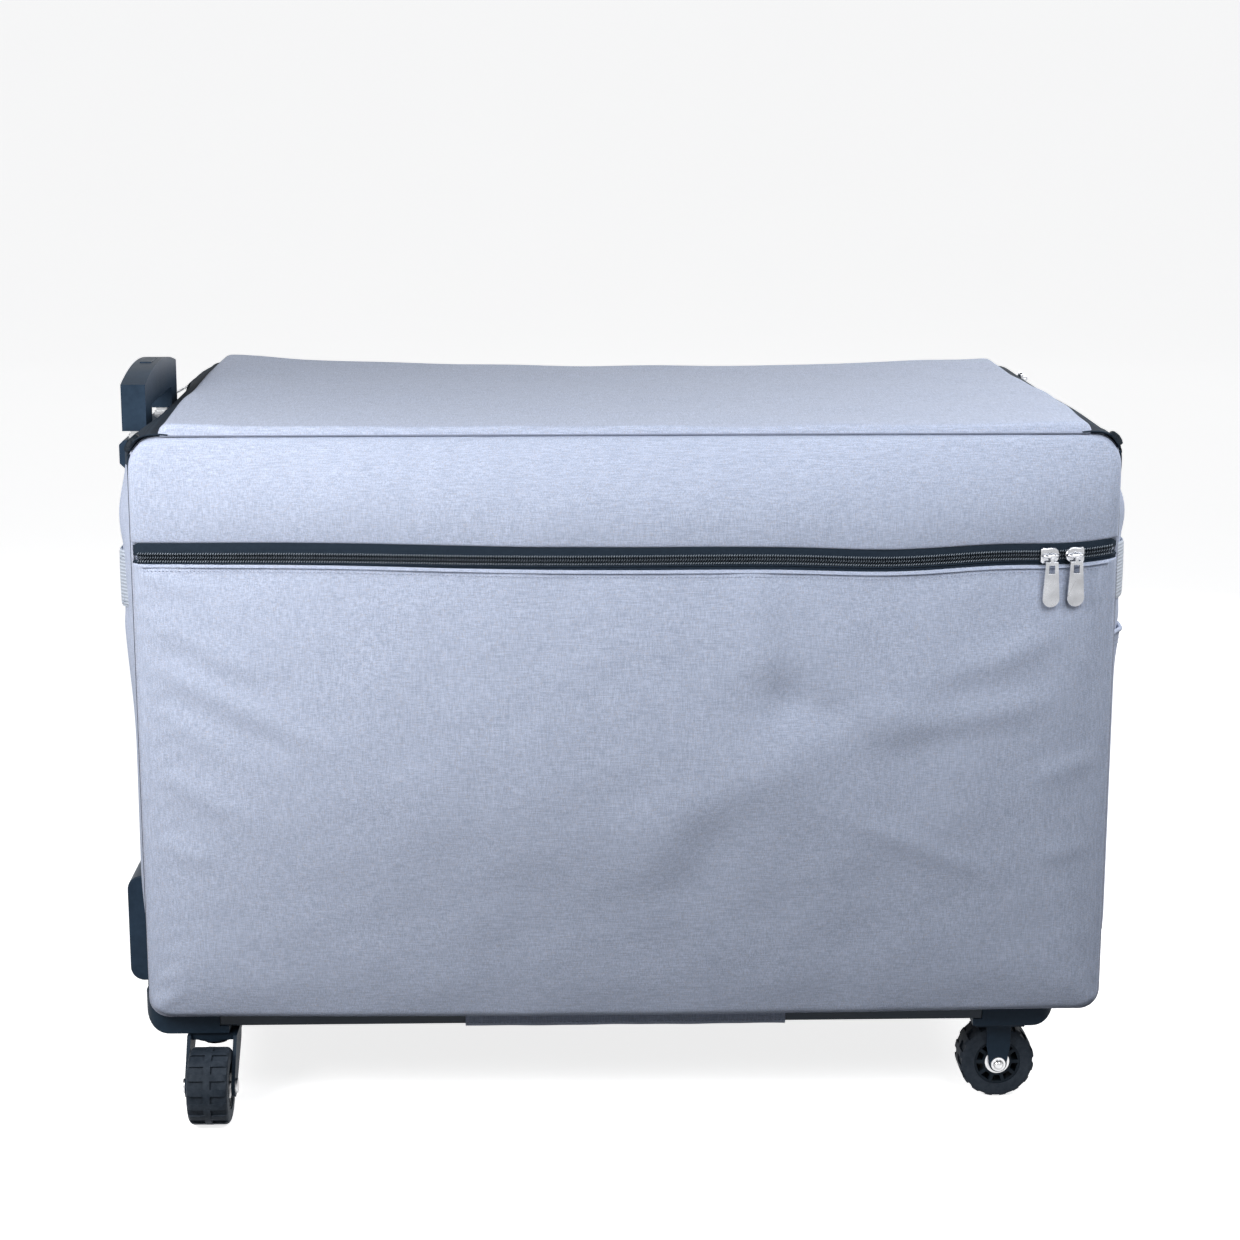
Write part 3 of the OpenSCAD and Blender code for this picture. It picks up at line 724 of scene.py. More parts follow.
def build_front():
    """Pocket and upper panel on each side of the zipper, and the flat wall behind them."""
    roll = 10.0
    lip = 2.2
    columns = spaced(-HALF, HALF, 7.5) / HALF
    back = FRONT + PAD
    heights = spaced(LOW, ZIP_LOW, 7.0)
    square = 10 * SEAM

    def pocket_outer(u, z):
        width = half_width(z, square)
        x = u * width
        near_zip = smooth(near(ZIP_LOW - z, 110))
        lift = zip_wave(x) * near_zip + (1.0 - 0.6 * zip_rise(x)) * near_zip**4
        side = near(width - np.abs(x), roll)
        drop = rolled(side, near(z - LOW, roll), roll) + rolled(0 * x, near(ZIP_LOW - z, lip), lip)
        y = FRONT - crown(x) * pocket_profile(z) - 1.5 + drop
        return x, y, z + lift

    pocket = pad("pocket_pad", columns, heights, pocket_outer, flat_side(back, square))

    upper_low = ZIP_HIGH - 0.4
    tops = spaced(upper_low, SEAM, 6.0, SHORT_FINE)

    def upper_outer(u, z):
        width = half_width(z, SEAM)
        x = u * width
        lift = 0.8 * zip_rise(x) * (1 - smooth((z - ZIP_HIGH) / 40))
        lift = lift + zip_wave(x) * (1 - smooth((z - ZIP_HIGH) / 80))
        side = near(width - np.abs(x), roll)
        drop = rolled(side, near(SEAM - z, 6.0), 6.0) + rolled(0 * x, near(z - upper_low, lip), lip)
        climb = math.pi * np.clip((z - ZIP_HIGH) / (SEAM - ZIP_HIGH), 0, 1)
        y = FRONT - crown(x) * np.cos(climb / 2) ** 0.75 - 4.0 * np.sin(climb) + drop - 0.5
        return x, y, z + lift

    upper = pad("upper_pad", columns, tops, upper_outer, flat_side(back - 8, SEAM))
    columns = spaced(-HALF + 4, HALF - 4, 20) / HALF
    rows = spaced(LOW + 4, REAR_TOP, 20)
    core = slab("front_wall_pad", grid(columns, rows, flat_side(back - 9, SEAM, 3)),
                grid(columns, rows, flat_side(back, SEAM, 3)), LINING)
    return pocket, upper, core


def side_bulge(side, y, z):
    """How far an end wall stands proud of its plane."""
    away = np.abs(y)
    if side < 0:
        reach = smooth((away - 108) / 70) * (1 - smooth((away - 212) / 34))
        height = (8 + 8 * smooth((z - 330) / 170)) * smooth((z - 104) / 120)
        height = height * (1 - 0.45 * smooth((z - 540) / 46))
    else:
        reach = 1 - smooth((away - 188) / 42)
        height = (13 + 6 * smooth((z - 400) / 60)) * smooth((z - 98) / 40)
        height = height * (1 - smooth((z - 538) / 48))
    strap = 1 - 0.16 * smooth((z - 440) / 16) * (1 - smooth((z - 512) / 16))
    return reach * height * strap


def build_side(side, low):
    """Padded end wall; side is -1 at the left end and 1 at the right one."""
    reach = BACK - 12
    rows = spaced(low, EDGE_Z, 8.0, SHORT_FINE)
    columns = spaced(-reach, reach, 8.0, SHORT_FINE)

    def outer(y, z):
        drop = rolled(near(reach - np.abs(y), 8), near(z - low, 8), 8.0)
        drop = drop + rolled(0 * y, near(EDGE_Z - z, 3), 3.0)
        return side * (HALF + side_bulge(side, y, z) + 0.5 - drop), y, z

    def inner(y, z):
        return side * (HALF - PAD) + 0 * y, y, z

    return pad("left_wall_pad" if side < 0 else "right_wall_pad", columns, rows, outer, inner)


def build_rear():
    """Padded rear wall with a slight belly."""
    columns = spaced(-HALF, HALF, 9.0) / HALF
    rows = spaced(LOW, REAR_TOP, 9.0)

    def outer(u, z):
        width = half_width(z, REAR_TOP)
        x = u * width
        side = near(width - np.abs(x), 10)
        ends = np.maximum(near(z - LOW, 10), near(REAR_TOP - z, 6))
        belly = 8 * (1 - (x / HALF) ** 2) * np.sin(math.pi * (z - LOW) / (REAR_TOP - LOW)) ** 0.6
        return x, BACK + belly - rolled(side, ends, 9.0), z

    return pad("rear_wall_pad", columns, rows, outer, flat_side(BACK - PAD, REAR_TOP))


def lid_half(side, y):
    """Lid's reach to an end at a depth: it bows outwards near the front."""
    rear = np.where(np.asarray(side) < 0, 8, 2)
    return LID_HALF + 6 * bell(y + 80, 110) + rear * smooth((y + 60) / 200)


def rim_rise(side, y):
    """How far the lid's ends stand up: the right one falls away towards the rear."""
    rear = np.where(np.asarray(side) < 0, 1.0, -4.5)
    return 1.5 + rear * smooth((y - FRONT - 60) / 380)


def lid_sag(x, y):
    """How far the lid's cloth hangs below its flat height."""
    depth = smooth((y - FRONT) / (BACK - FRONT))
    middle = 1 - np.abs(x / LID_HALF) ** 2.4
    lean = 1 + 0.25 * x / LID_HALF
    return (2.0 + 8.5 * depth) * np.clip(middle, 0, 1) * lean


def build_lid():
    """Padded lid whose cloth sags in the middle, with its lining underneath."""
    low, high = lid_box[0][2], lid_box[1][2]
    front = lid_box[0][1]
    columns = spaced(-1, 1, 0.019, (0.0, 0.0025, 0.006, 0.011, 0.019, 0.03))
    rows = spaced(front, BACK, 7.5, (0.0, 0.8, 2.2, 4.5, 7.5, 12.0))
    middle = (low + high) / 2

    def sheet(u, y, up):
        half = lid_half(np.sign(u), y)
        x = u * half
        side = near(half - np.abs(x), 10)
        drop = rolled(side, np.maximum(near(y - front, 5), near(BACK - y, 8)), high - middle)
        sag = lid_sag(x, y) * (1 - rolled(side, 0 * x, 1.0)) * (1 if up > 0 else 0.8)
        rim = rim_rise(np.sign(u), y) * smooth((np.abs(x) / half - 0.78) / 0.18)
        return x, y, middle + up * (high - middle - drop) - sag + rim

    lid = slab("lid_pad", *layers(columns, rows, sheet, 1, -1), CASE)
    lid.data.materials.append(LINING)
    for k in range((len(rows) - 1) * (len(columns) - 1)):
        lid.data.polygons[2 * k + 1].material_index = 1
    return lid, grid_held(len(rows), len(columns))


# ---------- Zippers ----------

TOOTH_PITCH = 2.15
TOOTH = (2.5, 0.62, 1.0)
OUTWARD = (0, -1.0, 0)


def bulged(x, z, proud):
    """Point on the curved zipper line, standing proud of the tape by a given amount."""
    reach = BULGE_R + proud
    y = FRONT - BULGE + BULGE_R - np.sqrt(reach**2 - np.clip(x, -HALF, HALF) ** 2)
    return np.stack(np.broadcast_arrays(x, y, z), axis=-1)


def on_tape(x, z, proud):
    """Point on the zipper, whose coil hangs lower between its tapes towards the left."""
    hang = (1 + 3 * smooth((120 - x) / 500)) * (1 - smooth((np.abs(z - ZIP_MID) - 5) / 7))
    end = rolled((10 - (HALF - np.abs(x))) / 10, 0 * x, 10.0)
    return bulged(x, z + zip_wave(x) - hang, proud - end)


def tooth_places(reach):
    """Even positions from about -reach to reach, one for each tooth."""
    count = int(2 * reach / TOOTH_PITCH)
    return (np.arange(count) - (count - 1) / 2) * TOOTH_PITCH


def build_front_zipper():
    """Two tapes, the coil's teeth, light beads for the sewing beside them and painted glints on the
    teeth, and a cord along the lower tape.
    """
    xs = np.linspace(1 - HALF, HALF - 1, 150)
    edges = ((ZIP_LOW - 4, ZIP_MID - 2.0), (ZIP_MID + 2.0, ZIP_HIGH + 6))
    tapes = [layers(xs, np.linspace(low, high, 5), on_tape, -0.6, -1.6) for low, high in edges]
    tape = slabs("front_zipper_tape", tapes, TAPE)
    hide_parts("front_zipper")
    at = tooth_places(HALF - 4)
    rows = [(on_tape(at + shift, ZIP_MID + row, 0.5), (0.30, 0, 1), OUTWARD)
            for row, shift in ((2.0, 0), (-1.4, TOOTH_PITCH / 2))]
    teeth = beads("front_zipper_coil", rows, TOOTH, COIL, 4, 6)
    # light beads at each tooth: painted glints on the coil's teeth, also standing for its sewing
    rows = [(on_tape(at, ZIP_MID + row, 0.9), (0.75, 0, 1), OUTWARD) for row in (4.3, 1.0, -2.2)]
    sewing_and_glints = beads("front_zipper_thread_glints", rows, (1.25, 0.5, 0.55), COIL_THREAD_GLINT, 2, 5)
    cord = tube("front_zipper_cords", [on_tape(xs, ZIP_MID - 4.0, 0.1)], 0.9, TAPE, 6)
    return [tape, teeth, sewing_and_glints, cord]


def corner(side, y, angle, out):
    """Point on the rounded upper edge of an end: angle 0 at the wall, 90 degrees at the lid."""
    centre = lid_half(side, y)
    turn = np.radians(angle)
    swollen = side_bulge(side, y, EDGE_Z) * np.cos(np.clip(turn, 0, math.pi / 2))
    fullness = 0.75
    across = np.sign(np.cos(turn)) * np.abs(np.cos(turn)) ** fullness
    rise = np.sign(np.sin(turn)) * np.abs(np.sin(turn)) ** fullness
    x = centre + (HALF - centre + swollen + out) * across
    z = EDGE_Z + (EDGE_R + rim_rise(side, y) + out) * rise
    return np.stack(np.broadcast_arrays(side * x, y, z), axis=-1)


COIL_ANGLE = 20.0


def build_lid_zippers():
    """Tape and coil on the lid and on the wall, along both rounded upper edges."""
    reach = BACK - 3
    ys = np.linspace(-reach, reach, 110)
    at = tooth_places(reach - 4)
    made = []
    for label, turns, lean, shift in (("lid", (COIL_ANGLE + 3.5, 100), 4.2, TOOTH_PITCH / 2),
                                      ("wall", (-8, COIL_ANGLE - 3.5), -4.2, 0)):
        angles = np.linspace(*turns, 9)
        pairs = [layers(ys, angles, lambda y, angle, out: corner(side, y, angle, out), 0.3, -0.8)
                 for side in (-1, 1)]
        tape = slabs(label + "_zipper_tape", pairs, TAPE)
        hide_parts(label + "_zipper_tapes")
        y = at + shift
        turn = COIL_ANGLE + lean
        rows = [(corner(side, y, turn, 1.0),
                 corner(side, y + 0.4, turn + 6, 1.0) - corner(side, y - 0.4, turn - 6, 1.0),
                 corner(side, y, turn, 3.0) - corner(side, y, turn, 0.0)) for side in (-1, 1)]
        made += [(label, tape), (label, beads(label + "_zipper_coil", rows, TOOTH, COIL, 4, 6))]
    return made


# ---------- Build and assemble ----------


def mount(pieces, body):
    """Gives pieces the body that they ride on."""
    for piece in pieces:
        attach(piece, body)


*front_pads, front_core = build_front()
left_pad = build_side(-1, node_box("left_wall")[0][2])
right_pad = build_side(1, node_box("right_wall")[0][2])
pads = [*front_pads, left_pad, right_pad, build_rear(), build_lid()]
swell(pads, (5.0, 4.0, 4.0, 3.0, 5.0, 4.0))
pocket, upper, left, right, rear, lid = (piece for piece, _ in pads)


def pocket_folds(x, y, z):
    """Moves of the pocket's cloth: folds, unevenness and puckers along its left seam."""
    front = smooth((FRONT + 2 - y) / 6)
    seam = bell(x + 414, 24) * smooth((x + 421) / 7)
    height = folds(x, z) + 0.5 * ripple(x, z, 4, 60)
    height = height + 1.1 * seam * np.sin((z - 0.45 * x) / 2.9 + 1.6 * np.sin(z / 37))
    return 0 * x, -height * front, 0 * z


def upper_puckers(x, y, z):
    """Moves of the upper panel's cloth: puckers under the lid's seam and unevenness."""
    front = smooth((FRONT + 2 - y) / 6)
    gathered = bell(SEAM - 6 - z, 34) * bell(x + 150, 120)
    height = 1.1 * gathered * np.sin(x / 6.4 + 0.8 * np.sin(x / 31))
    height = height + 0.5 * ripple(x, z, 9, 75)
    return 0 * x, -height * front, 0 * z


displaced(pocket, pocket_folds)
displaced(upper, upper_puckers)
displaced(lid, lambda x, y, z: (0 * x, 0 * y, 0.8 * ripple(x, y, 12, 130)))
for piece, node in ((pocket, "front_pocket_panel"), (upper, "front_upper_panel"),
                    (left, "left_wall"), (right, "right_wall"), (rear, "rear_wall"),
                    (lid, "lid_panel")):
    subdivided(piece)
    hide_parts(node)
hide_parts("front_wall")
mount((pocket, upper, front_core, left, right, rear), "base")
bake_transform(lid)

mount(build_front_zipper(), "base")
for label, piece in build_lid_zippers():
    mount([piece], "lid" if label == "lid" else "base")


# ---------- Seams ----------


def outline(top, y, inset):
    """Closed line round an upright panel at a depth, drawn in by an inset."""
    zs = np.concatenate([
        LOW + LOW_R * (1 - np.cos(np.linspace(0, math.pi / 2, 12))),
        np.linspace(LOW + LOW_R, top - EDGE_R, 40)[1:-1],
        top - EDGE_R * (1 - np.sin(np.linspace(0, math.pi / 2, 12))),
    ])
    right_half = [(half_width(z, top) - inset, y, z) for z in zs]
    left_half = [(-x, y, z) for x, y, z in reversed(right_half)]
    top_x = np.linspace(right_half[-1][0], left_half[0][0], 50)[1:-1]
    low_x = np.linspace(left_half[-1][0], right_half[0][0], 50)[1:-1]
    line = right_half + [(x, y, top) for x in top_x] + left_half
    return np.array(line + [(x, y, LOW) for x in low_x])


welts = tube("panel_welts", [outline(SEAM, FRONT + 9.0, 0.6), outline(REAR_TOP, BACK - 9.0, 0.6)],
             1.7, WELT, closed=True)
mount([welts], "base")


def build_seam_lines():
    """Painted shadow lines of dark cord in the gap beside the piping and along the lid's seam, and the
    pocket's folded upper edge.
    """
    # painted shadow: a near-black cord round the front panel stands in for the shade in the gap beside
    # the piping
    seam_shadows = tube("panel_seam_shadows", [outline(SEAM, FRONT + 13, -1.3)], 1.1, SEAM_SHADOW_DARK, 6, closed=True)
    xs = np.linspace(-LID_HALF + 2, LID_HALF - 2, 120)
    # painted shadow: a mid-dark cord of thread colour stands in for the shade between the lid and the
    # upper panel
    lid_seam_shadow = tube("lid_seam_shadow", [[(x, FRONT + 1.4, SEAM + 0.7) for x in xs]], 0.8, THREAD, 6)
    reach = HALF - 9
    xs = np.linspace(-reach, reach, 160)
    lift = zip_wave(xs) + 1.0 - 0.6 * zip_rise(xs)
    fold_y = FRONT - crown(xs) - 2.6
    edge = np.stack([xs, fold_y, ZIP_LOW - 2.6 + lift], axis=1)
    fold = tube("pocket_fold", [edge], 0.9, CASE)
    row = np.stack([xs, fold_y - 1.2, ZIP_LOW - 6.0 + lift], axis=1)
    sewing = stitched("pocket_fold_stitches", [row], [OUTWARD], 3.4, 2.0, 0.55)
    return [seam_shadows, lid_seam_shadow, fold, sewing]


def build_corner_coils():
    """Ends of the lid zippers, bent down over the front corners, and the gussets beside them."""
    lines = []
    pairs = []
    for side in (-1, 1):
        spine = np.array([corner(side, FRONT + ahead, COIL_ANGLE + turn, out) for ahead, turn, out in
                          ((24, 24, 0.8), (12, 32, 1.3), (5, 34, 1.6), (2, 26, 1.6), (2, 15, 1.2))])
        steps = np.linspace(0, len(spine) - 1, 260)
        path = np.stack([np.interp(steps, np.arange(len(spine)), spine[:, k]) for k in range(3)], 1)
        turns = steps * 2 * math.pi * 5
        wide = np.stack([np.cos(turns), 0.5 * np.sin(turns), np.sin(turns)], axis=1)
        lines.append(path + 2.1 * wide)
        ys = np.linspace(FRONT + 0.5, FRONT + 30, 12)
        pairs.append(layers(ys, np.linspace(42, 104, 12),
                            lambda y, angle, out: corner(side, y, angle, out), 1.0, 0.1))
    return [tube("corner_coils", lines, 0.75, COIL, 6), slabs("corner_gussets", pairs, TAPE)]


mount(build_seam_lines(), "base")
mount(build_corner_coils(), "base")

# ---------- Straps, pocket, flaps ----------


def strap_line(side):
    """Middle line of a grab strap as distances along Y and out from the wall's plane."""
    ys = np.linspace(-238, 238, 96)
    ends = smooth((238 - np.abs(ys)) / 22)
    wall = side_bulge(side, ys, 484)
    if side < 0:
        loop = smooth((np.abs(ys) - 108) / 34) * smooth((226 - np.abs(ys)) / 30)
        out = 1.6 + wall * ends + 0.5 * loop
        out = np.where(np.abs(ys) < 108, 1.6, out)
    else:
        out = 1.6 + wall + 0.4 * smooth((222 - np.abs(ys)) / 34)
    return ys, out


def build_straps():
    """Grab straps of webbing across both ends, sewn down with a box at each end."""
    low, high = (corner_point[2] for corner_point in node_box("grab_straps"))
    thickness = 2.2
    rows = np.array([low, low + 0.8, low + 2.4, *np.linspace(low + 8, high - 8, 5),
                     high - 2.4, high - 0.8, high])
    pairs = []
    lines = []
    outs = []
    for side in (-1, 1):
        ys, out = strap_line(side)

        def face(y, z, thick):
            round_off = 0.7 * (1 - smooth(np.minimum(z - low, high - z) / 2.4))
            proud = np.interp(y, ys, out)
            lean = 0.4 * np.sin((z - low) / (high - low) * math.pi) * (proud > 3)
            shift = thick - round_off if thick > 0 else round_off
            return side * (HALF + proud + lean + shift), y, z

        pairs.append(layers(ys, rows, face, thickness, 0.0))
        for y_in, y_out in ((-221, -235), (221, 235)):
            x_in, x_out = (side * (HALF + np.interp(y, ys, out) + thickness) for y in (y_in, y_out))
            lines += [[(x_in, y_in, z), (x_in, y_out, z)] for z in (low + 5, high - 5)]
            lines += [[(x, y, low + 5), (x, y, high - 5)] for x, y in ((x_in, y_in), (x_out, y_out))]
            outs += [(side, 0, 0)] * 4
    straps = slabs("grab_straps_webbing", pairs, WEBBING)
    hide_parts("grab_straps")
    return [straps, stitched("grab_strap_stitches", lines, outs, 3.2, 2.4, 0.6)]


def build_side_pocket():
    """Patch pocket on the right wall, gathered at its mouth, with a hem and two rows of sewing."""
    box_low, box_high = node_box("side_pocket")
    half = box_high[1]
    low, top = box_low[2], box_high[2]
    fine = (0.0, 1.0, 2.5, 5.0)
    ys = spaced(-half, half, 5.0, fine)
    zs = spaced(low, top, 7.0, fine)

    def cloth_at(y, z, lift):
        edge = smooth((half - np.abs(y)) / 12)
        foot = smooth((z - low) / 14)
        mouth = smooth((z - (top - 46)) / 34)
        gather = 0.6 * np.sin(y / 3.6 + 0.7 * np.sin(y / 17)) * smooth((z - (top - 60)) / 44)
        proud = 1.6 + side_bulge(1, y, z) + edge * foot * (0.6 + 1.2 * mouth + gather)
        return HALF + proud + lift, y, z

    cloth = slab("side_pocket_cloth", *layers(ys, zs, cloth_at, 0.9, 0.0), CASE)
    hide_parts("side_pocket")
    hem = [(cloth_at(y, top - 2, 1.1)[0], y, top - 0.5) for y in ys]
    rows = [[cloth_at(y, top - d, 1.3) for y in ys[3:-3]] for d in (9, 13)]
    return [cloth, tube("side_pocket_hem", [hem], 2.0, CASE),
            stitched("side_pocket_stitches", rows, [(1, 0, 0)] * 2, 3.4, 2.3, 0.5)]


def build_flaps():
    """Flaps of case fabric that wrap under the long rails; the path starts at the wall."""
    box_low, box_high = node_box("base_flaps")
    rail_low = node_box("long_rails")[0][2]
    outer_y = -box_low[1]
    path = np.array([(0.4, 112), (1.0, 104), (1.2, 94), (0.8, rail_low + 1.5), (-1.5, rail_low - 1.2),
                     (-12, rail_low - 1.6), (-24, rail_low - 1.5), (-36, rail_low - 1.2)])
    path[:, 0] += outer_y
    xs = spaced(box_low[0], box_high[0], 6.0, (0.0, 1.0, 2.5))
    steps = np.linspace(0, len(path) - 1, 22)
    made = []
    for side, label in ((-1, "front"), (1, "rear")):

        def skin(x, k, lift):
            y, z = (np.interp(k, np.arange(len(path)), path[:, i]) for i in (0, 1))
            wave = (0.7 * np.sin(x / 19 + 1.3 * side) + 0.4 * np.sin(x / 7.3)) * smooth(k / 3)
            under = smooth(k - 3.5)
            y = y + (lift + 0.5 * wave) * (1 - under)
            return x, side * y, z - (lift + 0.4 * wave) * under

        flap = slab(label + "_base_flap", *layers(xs, steps, skin, 0.9, 0.0), CASE)
        subdivided(flap)
        hem = [(x, side * (outer_y + 2.3), rail_low + 3) for x in xs]
        made += [flap, stitched(label + "_flap_stitches", [hem], [(0, side, 0)], 3.6, 2.4, 0.5)]
    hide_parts("base_flaps")
    return made


mount(build_straps(), "base")
mount(build_side_pocket() + build_flaps(), "base")


# ---------- Inside of the case ----------


def wall_point(is_end, far, along, z):
    """Point of something that runs across an end of the case, or else along its front or rear."""
    return (far, along, z) if is_end else (along, far, z)


def build_lining():
    """Loose cloth tub inside the walls and on the floor."""
    box_low, box_high = node_box("lining")
    x_in, y_in = box_high[:2] - 1.5
    floor = box_low[2] + 1.5
    xs = spaced(-x_in, x_in, 14)
    ys = spaced(-y_in, y_in, 14)
    end_top = EDGE_Z + 1
    side_top = REAR_TOP - 1
    pairs = []
    for side, seed in ((-1, 21), (1, 22)):
        for is_end, run, reach, top, draw in ((True, ys, x_in, end_top, seed),
                                              (False, xs, y_in, side_top, seed + 4)):

            def hung(along, z, out):
                fade = smooth((z - floor) / 12) * smooth((top - z) / 12)
                slack = (0.4 + 0.9 * ripple(along, z, draw, 90)) * fade
                return wall_point(is_end, side * (reach + out - slack), along, z)

            pairs.append(layers(run, spaced(floor, top, 14), hung, 0.0, 1.1))

    def ground(x, y, lift):
        return x, y, floor + lift + 0.36 * ripple(x, y, 31, 90) * (lift > 0)

    pairs.append(layers(xs, ys, ground, 0.3, -1.0))
    lining = slabs("lining_tub", pairs, LINING)
    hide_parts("lining")
    return lining


def build_binding():
    """Black tape that closes the upper rim of walls, boards and lining."""
    x_in, y_in = node_box("lining")[1][:2] - 2.2
    bend = np.linspace(-90, 90, 9)
    pairs = []
    for side in (-1, 1):
        for is_end, run, inner, outer, base, tall, lift, sink in (
                (True, np.linspace(-y_in, y_in, 60), x_in, HALF - 4, EDGE_Z - 4, 6, 0.8, -0.2),
                (False, np.linspace(-x_in, x_in, 90), y_in, BACK - 3, REAR_TOP - 5, 4.5, 0.5, -0.3)):

            def over(along, turn, out):
                angle = np.radians(turn)
                far = (inner + outer) / 2 + ((outer - inner) / 2 + out) * np.sin(angle)
                return wall_point(is_end, side * far, along, base + (tall + out) * np.cos(angle))

            pairs.append(layers(run, bend, over, lift, sink))
    return slabs("rim_binding", pairs, TAPE)


def build_floor_cushion():
    """Thin pad on the floor of the case, rounded at its upper edges."""
    low, high = node_box("floor_pad")
    xs = spaced(low[0] + 1, high[0] - 1, 16)
    ys = spaced(low[1] + 1, high[1] - 1, 16)

    def top(x, y):
        side = near(high[0] - 1 - np.abs(x), 5)
        end = near(high[1] - 1 - np.abs(y), 5)
        return x, y, high[2] - 0.8 - rolled(side, end, 3.5)

    def under(x, y):
        return x, y, low[2] + 0.1 + 0 * x

    cushion = slab("floor_cushion", grid(xs, ys, top), grid(xs, ys, under), LINING)
    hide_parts("floor_pad")
    return cushion


binding = build_binding()
mount((build_lining(), build_floor_cushion()), "base")
mount([binding], "base")

# ---------- Frame, casters and handle ----------

CASTERS = ("front_left", "rear_left", "front_right", "rear_right")

# CAD node, material, rounding of its edges, slot and body
RIGID = [("long_rails", RAIL, 1.5, "dark_metal", "base"), ("end_rails", RAIL, 1.5, "dark_metal", "base")]
RIGID += [("bracket_" + caster, FRAME, 1.6, "frame_plastic", "base") for caster in CASTERS]
RIGID += [
    ("handle_outer_tubes", TUBE_DARK, 1.5, "dark_metal", "base"),
    ("handle_bezel", HANDLE, 1.2, "handle_plastic", "base"),
    ("handle_foot", HANDLE, 2.4, "handle_plastic", "base"),
    ("fixed_forks", FRAME, 0.8, "frame_plastic", "base"),
    ("handle_grip", HANDLE, 4.2, "handle_plastic", "handle_inner"),
    ("handle_button", HANDLE, 0.8, "handle_plastic", "release"),
    ("swivel_fork_front", FRAME, 0.8, "frame_plastic", "swivel_front"),
    ("swivel_fork_rear", FRAME, 0.8, "frame_plastic", "swivel_rear"),
]
for caster in CASTERS:
    RIGID.append(("rim_" + caster, WHEEL, 0.5, "wheel_plastic", "wheel_" + caster))
    RIGID.append(("tyre_" + caster, RUBBER, 0.7, "tyre", "wheel_" + caster))
for pull in ("front_pull_left", "front_pull_right", "lid_pull_left", "lid_pull_right"):
    RIGID.append((pull, NICKEL, 0.75, "zipper_metal", pull))
for node, material, width, slot, body in RIGID:
    mount([softened(node, material, width, 4 if node == "handle_grip" else 3)], body)


# A slider's outline, along its travel and up

SHIELD = [(-8.5, -5.6), (-8.5, 5.6), (-6.6, 6.9), (-3.5, 6.4), (0.5, 7.0), (4.0, 6.4), (7.0, 4.2),
          (8.5, 0.0), (7.0, -4.2), (4.0, -6.4), (0.5, -7.0), (-3.5, -6.4), (-6.6, -6.9)]


def build_slider(name, origin, travel, out, nose):
    """Shield-shaped slider whose round nose points along its travel, with a raised crown."""
    travel = np.array(travel, float)
    out = np.array(out, float)
    thick = 4.0
    points = []
    for depth in (0.0, thick):
        for along, up in SHIELD:
            points.append(origin + nose * along * travel + depth * out + np.array((0, 0, up)))
    count = len(SHIELD)
    faces = [tuple(range(count)), tuple(range(2 * count - 1, count - 1, -1))]
    for k in range(count):
        after = (k + 1) % count
        faces.append((k, after, count + after, count + k))
    body = mesh_piece(name + "_shown", np.array(points), faces, NICKEL)
    bevelled(body, 1.3, 4, 50)
    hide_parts(name)
    half_arch = [(6.4, 3.2), (5.6, 5.4), (4.0, 6.6), (1.5, 7.2)]
    arch = [(-a, d) for a, d in half_arch] + half_arch[::-1]
    line = [origin + a * travel + d * out for a, d in arch]
    mount((body, tube(name + "_crown", [line], 1.7, NICKEL, 10)), name)


def build_sliders():
    """Two sliders on the front zipper's curve and one on each lid zipper."""
    stand_off = 1.8
    for name, nose in (("front_slider_left", 1), ("front_slider_right", -1)):
        low, high = node_box(name)
        middle = (low + high) / 2
        turn = math.asin(middle[0] / (BULGE_R + stand_off + 4))
        origin = bulged(BULGE_R * math.sin(turn), middle[2], stand_off)
        travel = (math.cos(turn), math.sin(turn), 0)
        build_slider(name, origin, travel, (math.sin(turn), -math.cos(turn), 0), nose)
    for name, side in (("lid_slider_left", -1), ("lid_slider_right", 1)):
        low, high = node_box(name)
        origin = (low + high) / 2
        origin[0] = high[0] if side < 0 else low[0]
        build_slider(name, origin, (0, side, 0), (side, 0, 0), 1)


build_sliders()

dress(BOARD, "deck_board", "wall_boards")
dress(ALU, "handle_middle_tubes", "handle_inner_tubes")
dress(RAIL, "kingpins")
dress(STEEL, "fixed_axles", "swivel_axle_front", "swivel_axle_rear", "push_rods",
      *("bearings_" + caster for caster in CASTERS))


def build_springs():
    """Two coil springs under the release button."""
    low, high = node_box("button_springs")
    radius = 3.6
    wire = 0.5
    turns = np.linspace(0, 6.5 * 2 * math.pi, 130)
    rise = np.linspace(low[2] + wire, high[2] - wire, 130)
    lines = []
    for side in (-1, 1):
        middle = ((low[0] + high[0]) / 2, side * (high[1] - 4.2))
        lines.append(np.stack([middle[0] + radius * np.cos(turns),
                               middle[1] + radius * np.sin(turns), rise], axis=1))
    springs = tube("button_spring_coils", lines, wire, STEEL, 6)
    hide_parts("button_springs")
    mount([springs], "handle_inner")
    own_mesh(springs)


build_springs()

# ---------- Studio ----------


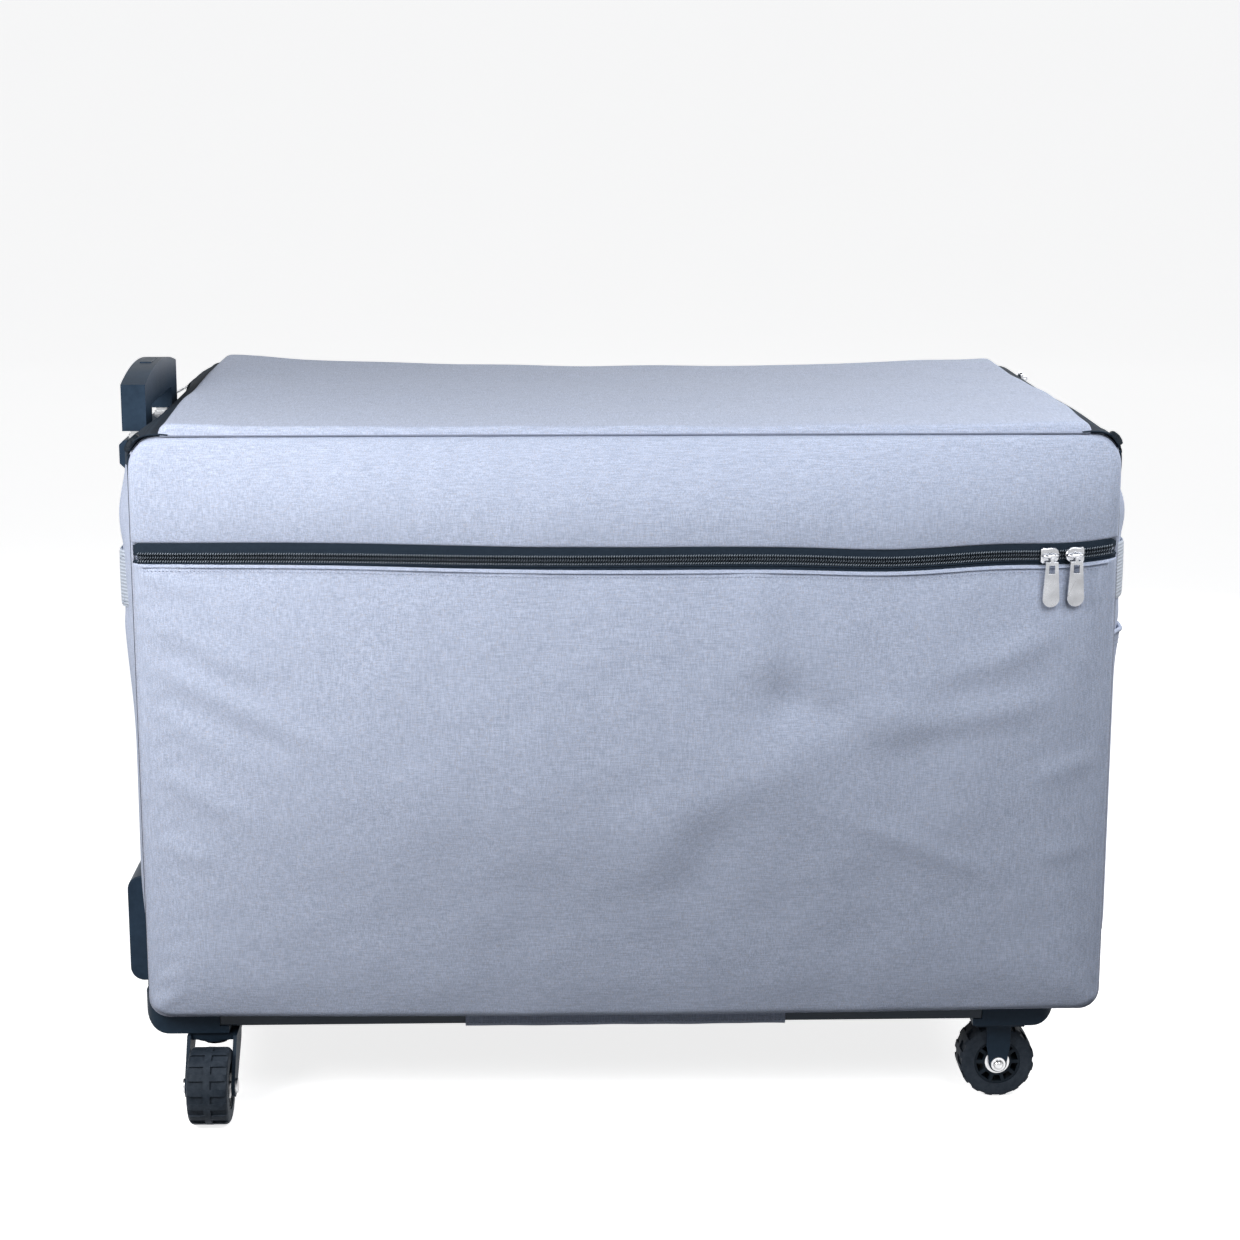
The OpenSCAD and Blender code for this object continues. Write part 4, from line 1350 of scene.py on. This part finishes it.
def build_stage():
    """Pale round floor that runs up into a backdrop on every side."""
    flat, curve, top, sides = 5.5, 1.6, 6.0, 72
    profile = [(radius, 0.0) for radius in (0.001, 1.0, 2.5, 4.0, flat)]
    for turn in np.linspace(0, math.pi / 2, 13)[1:]:
        profile.append((flat + curve * math.sin(turn), curve - curve * math.cos(turn)))
    profile.append((flat + curve, top))
    turns = [2 * math.pi * k / sides for k in range(sides)]
    points = [(radius * math.cos(t), radius * math.sin(t), z) for radius, z in profile for t in turns]
    faces = []
    for start in range(0, (len(profile) - 1) * sides, sides):
        for k in range(sides):
            a, b = start + k, start + (k + 1) % sides
            faces.append((a, b, b + sides, a + sides))
    s = Surface("stage_paper", 0.9)
    s.colour(s.mixed(s.ramp(s.noise(3, 2), 0.2, 0.8), (0.86, 0.86, 0.87), (0.90, 0.90, 0.905)))
    s.gloss(Emission_Color=(1, 1, 1, 1), Emission_Strength=0.8)
    floor = mesh_piece("stage_floor", points, faces, s.material, millimetres=False)
    floor.visible_diffuse = False


def area_light(name, location, target, size, power, colour):
    """Square lamp aimed at a target; size in metres and power in watts."""
    data = bpy.data.lights.new(name, "AREA")
    data.energy = power
    data.size = size
    data.color = colour
    lamp = bpy.data.objects.new(name, data)
    lamp.visible_camera = False
    bpy.context.scene.collection.objects.link(lamp)
    lamp.location = location
    aim = Vector(target) - Vector(location)
    lamp.rotation_euler = aim.to_track_quat("-Z", "Y").to_euler()


def build_camera():
    """Camera fitted to the photo's view of the case, pitched down from slightly left of its middle."""
    lens, sensor = 74.31, 36.0
    pitch, yaw, roll = math.radians(12.40), math.radians(1.58), math.radians(0.03)
    forward = Vector((math.sin(yaw) * math.cos(pitch), math.cos(yaw) * math.cos(pitch),
                      -math.sin(pitch)))
    level = Vector((math.cos(yaw), -math.sin(yaw), 0))
    up = level.cross(forward)
    right_way = level * math.cos(roll) + up * math.sin(roll)
    up_way = -level * math.sin(roll) + up * math.cos(roll)
    data = bpy.data.cameras.new("camera")
    data.lens = lens
    data.sensor_width = sensor
    camera = bpy.data.objects.new("camera", data)
    bpy.context.scene.collection.objects.link(camera)
    turn = Matrix((right_way, up_way, -forward)).transposed()
    camera.matrix_world = turn.to_4x4()
    camera.location = (CENTRE_X - 0.065, FRONT * MM - 2.136, 0.923)
    bpy.context.scene.camera = camera


build_stage()
area_light("key", (-0.90, -0.95, 0.98), (-0.2, -0.26, 0.45), 0.6, 16, (1.0, 0.99, 0.98))
area_light("front", (0.56, -1.0, 1.25), (0.0, -0.2, 0.48), 0.7, 10.0, (0.96, 0.98, 1.0))
area_light("top", (1.15, 0.1, 1.25), (0.3, 0.0, 0.6), 0.8, 9.8, (1, 1, 1))
area_light("rear", (0.5, 2.0, 0.75), (0.0, 0.3, 0.33), 1.0, 7, (0.98, 0.99, 1.0))
world = bpy.data.worlds.new("studio")
world.use_nodes = True
sky = world.node_tree.nodes["Background"]
sky.inputs["Color"].default_value = (0.93, 0.96, 1.0, 1)
sky.inputs["Strength"].default_value = 0.10
bpy.context.scene.world = world
bpy.context.scene.view_settings.view_transform = "Standard"
build_camera()
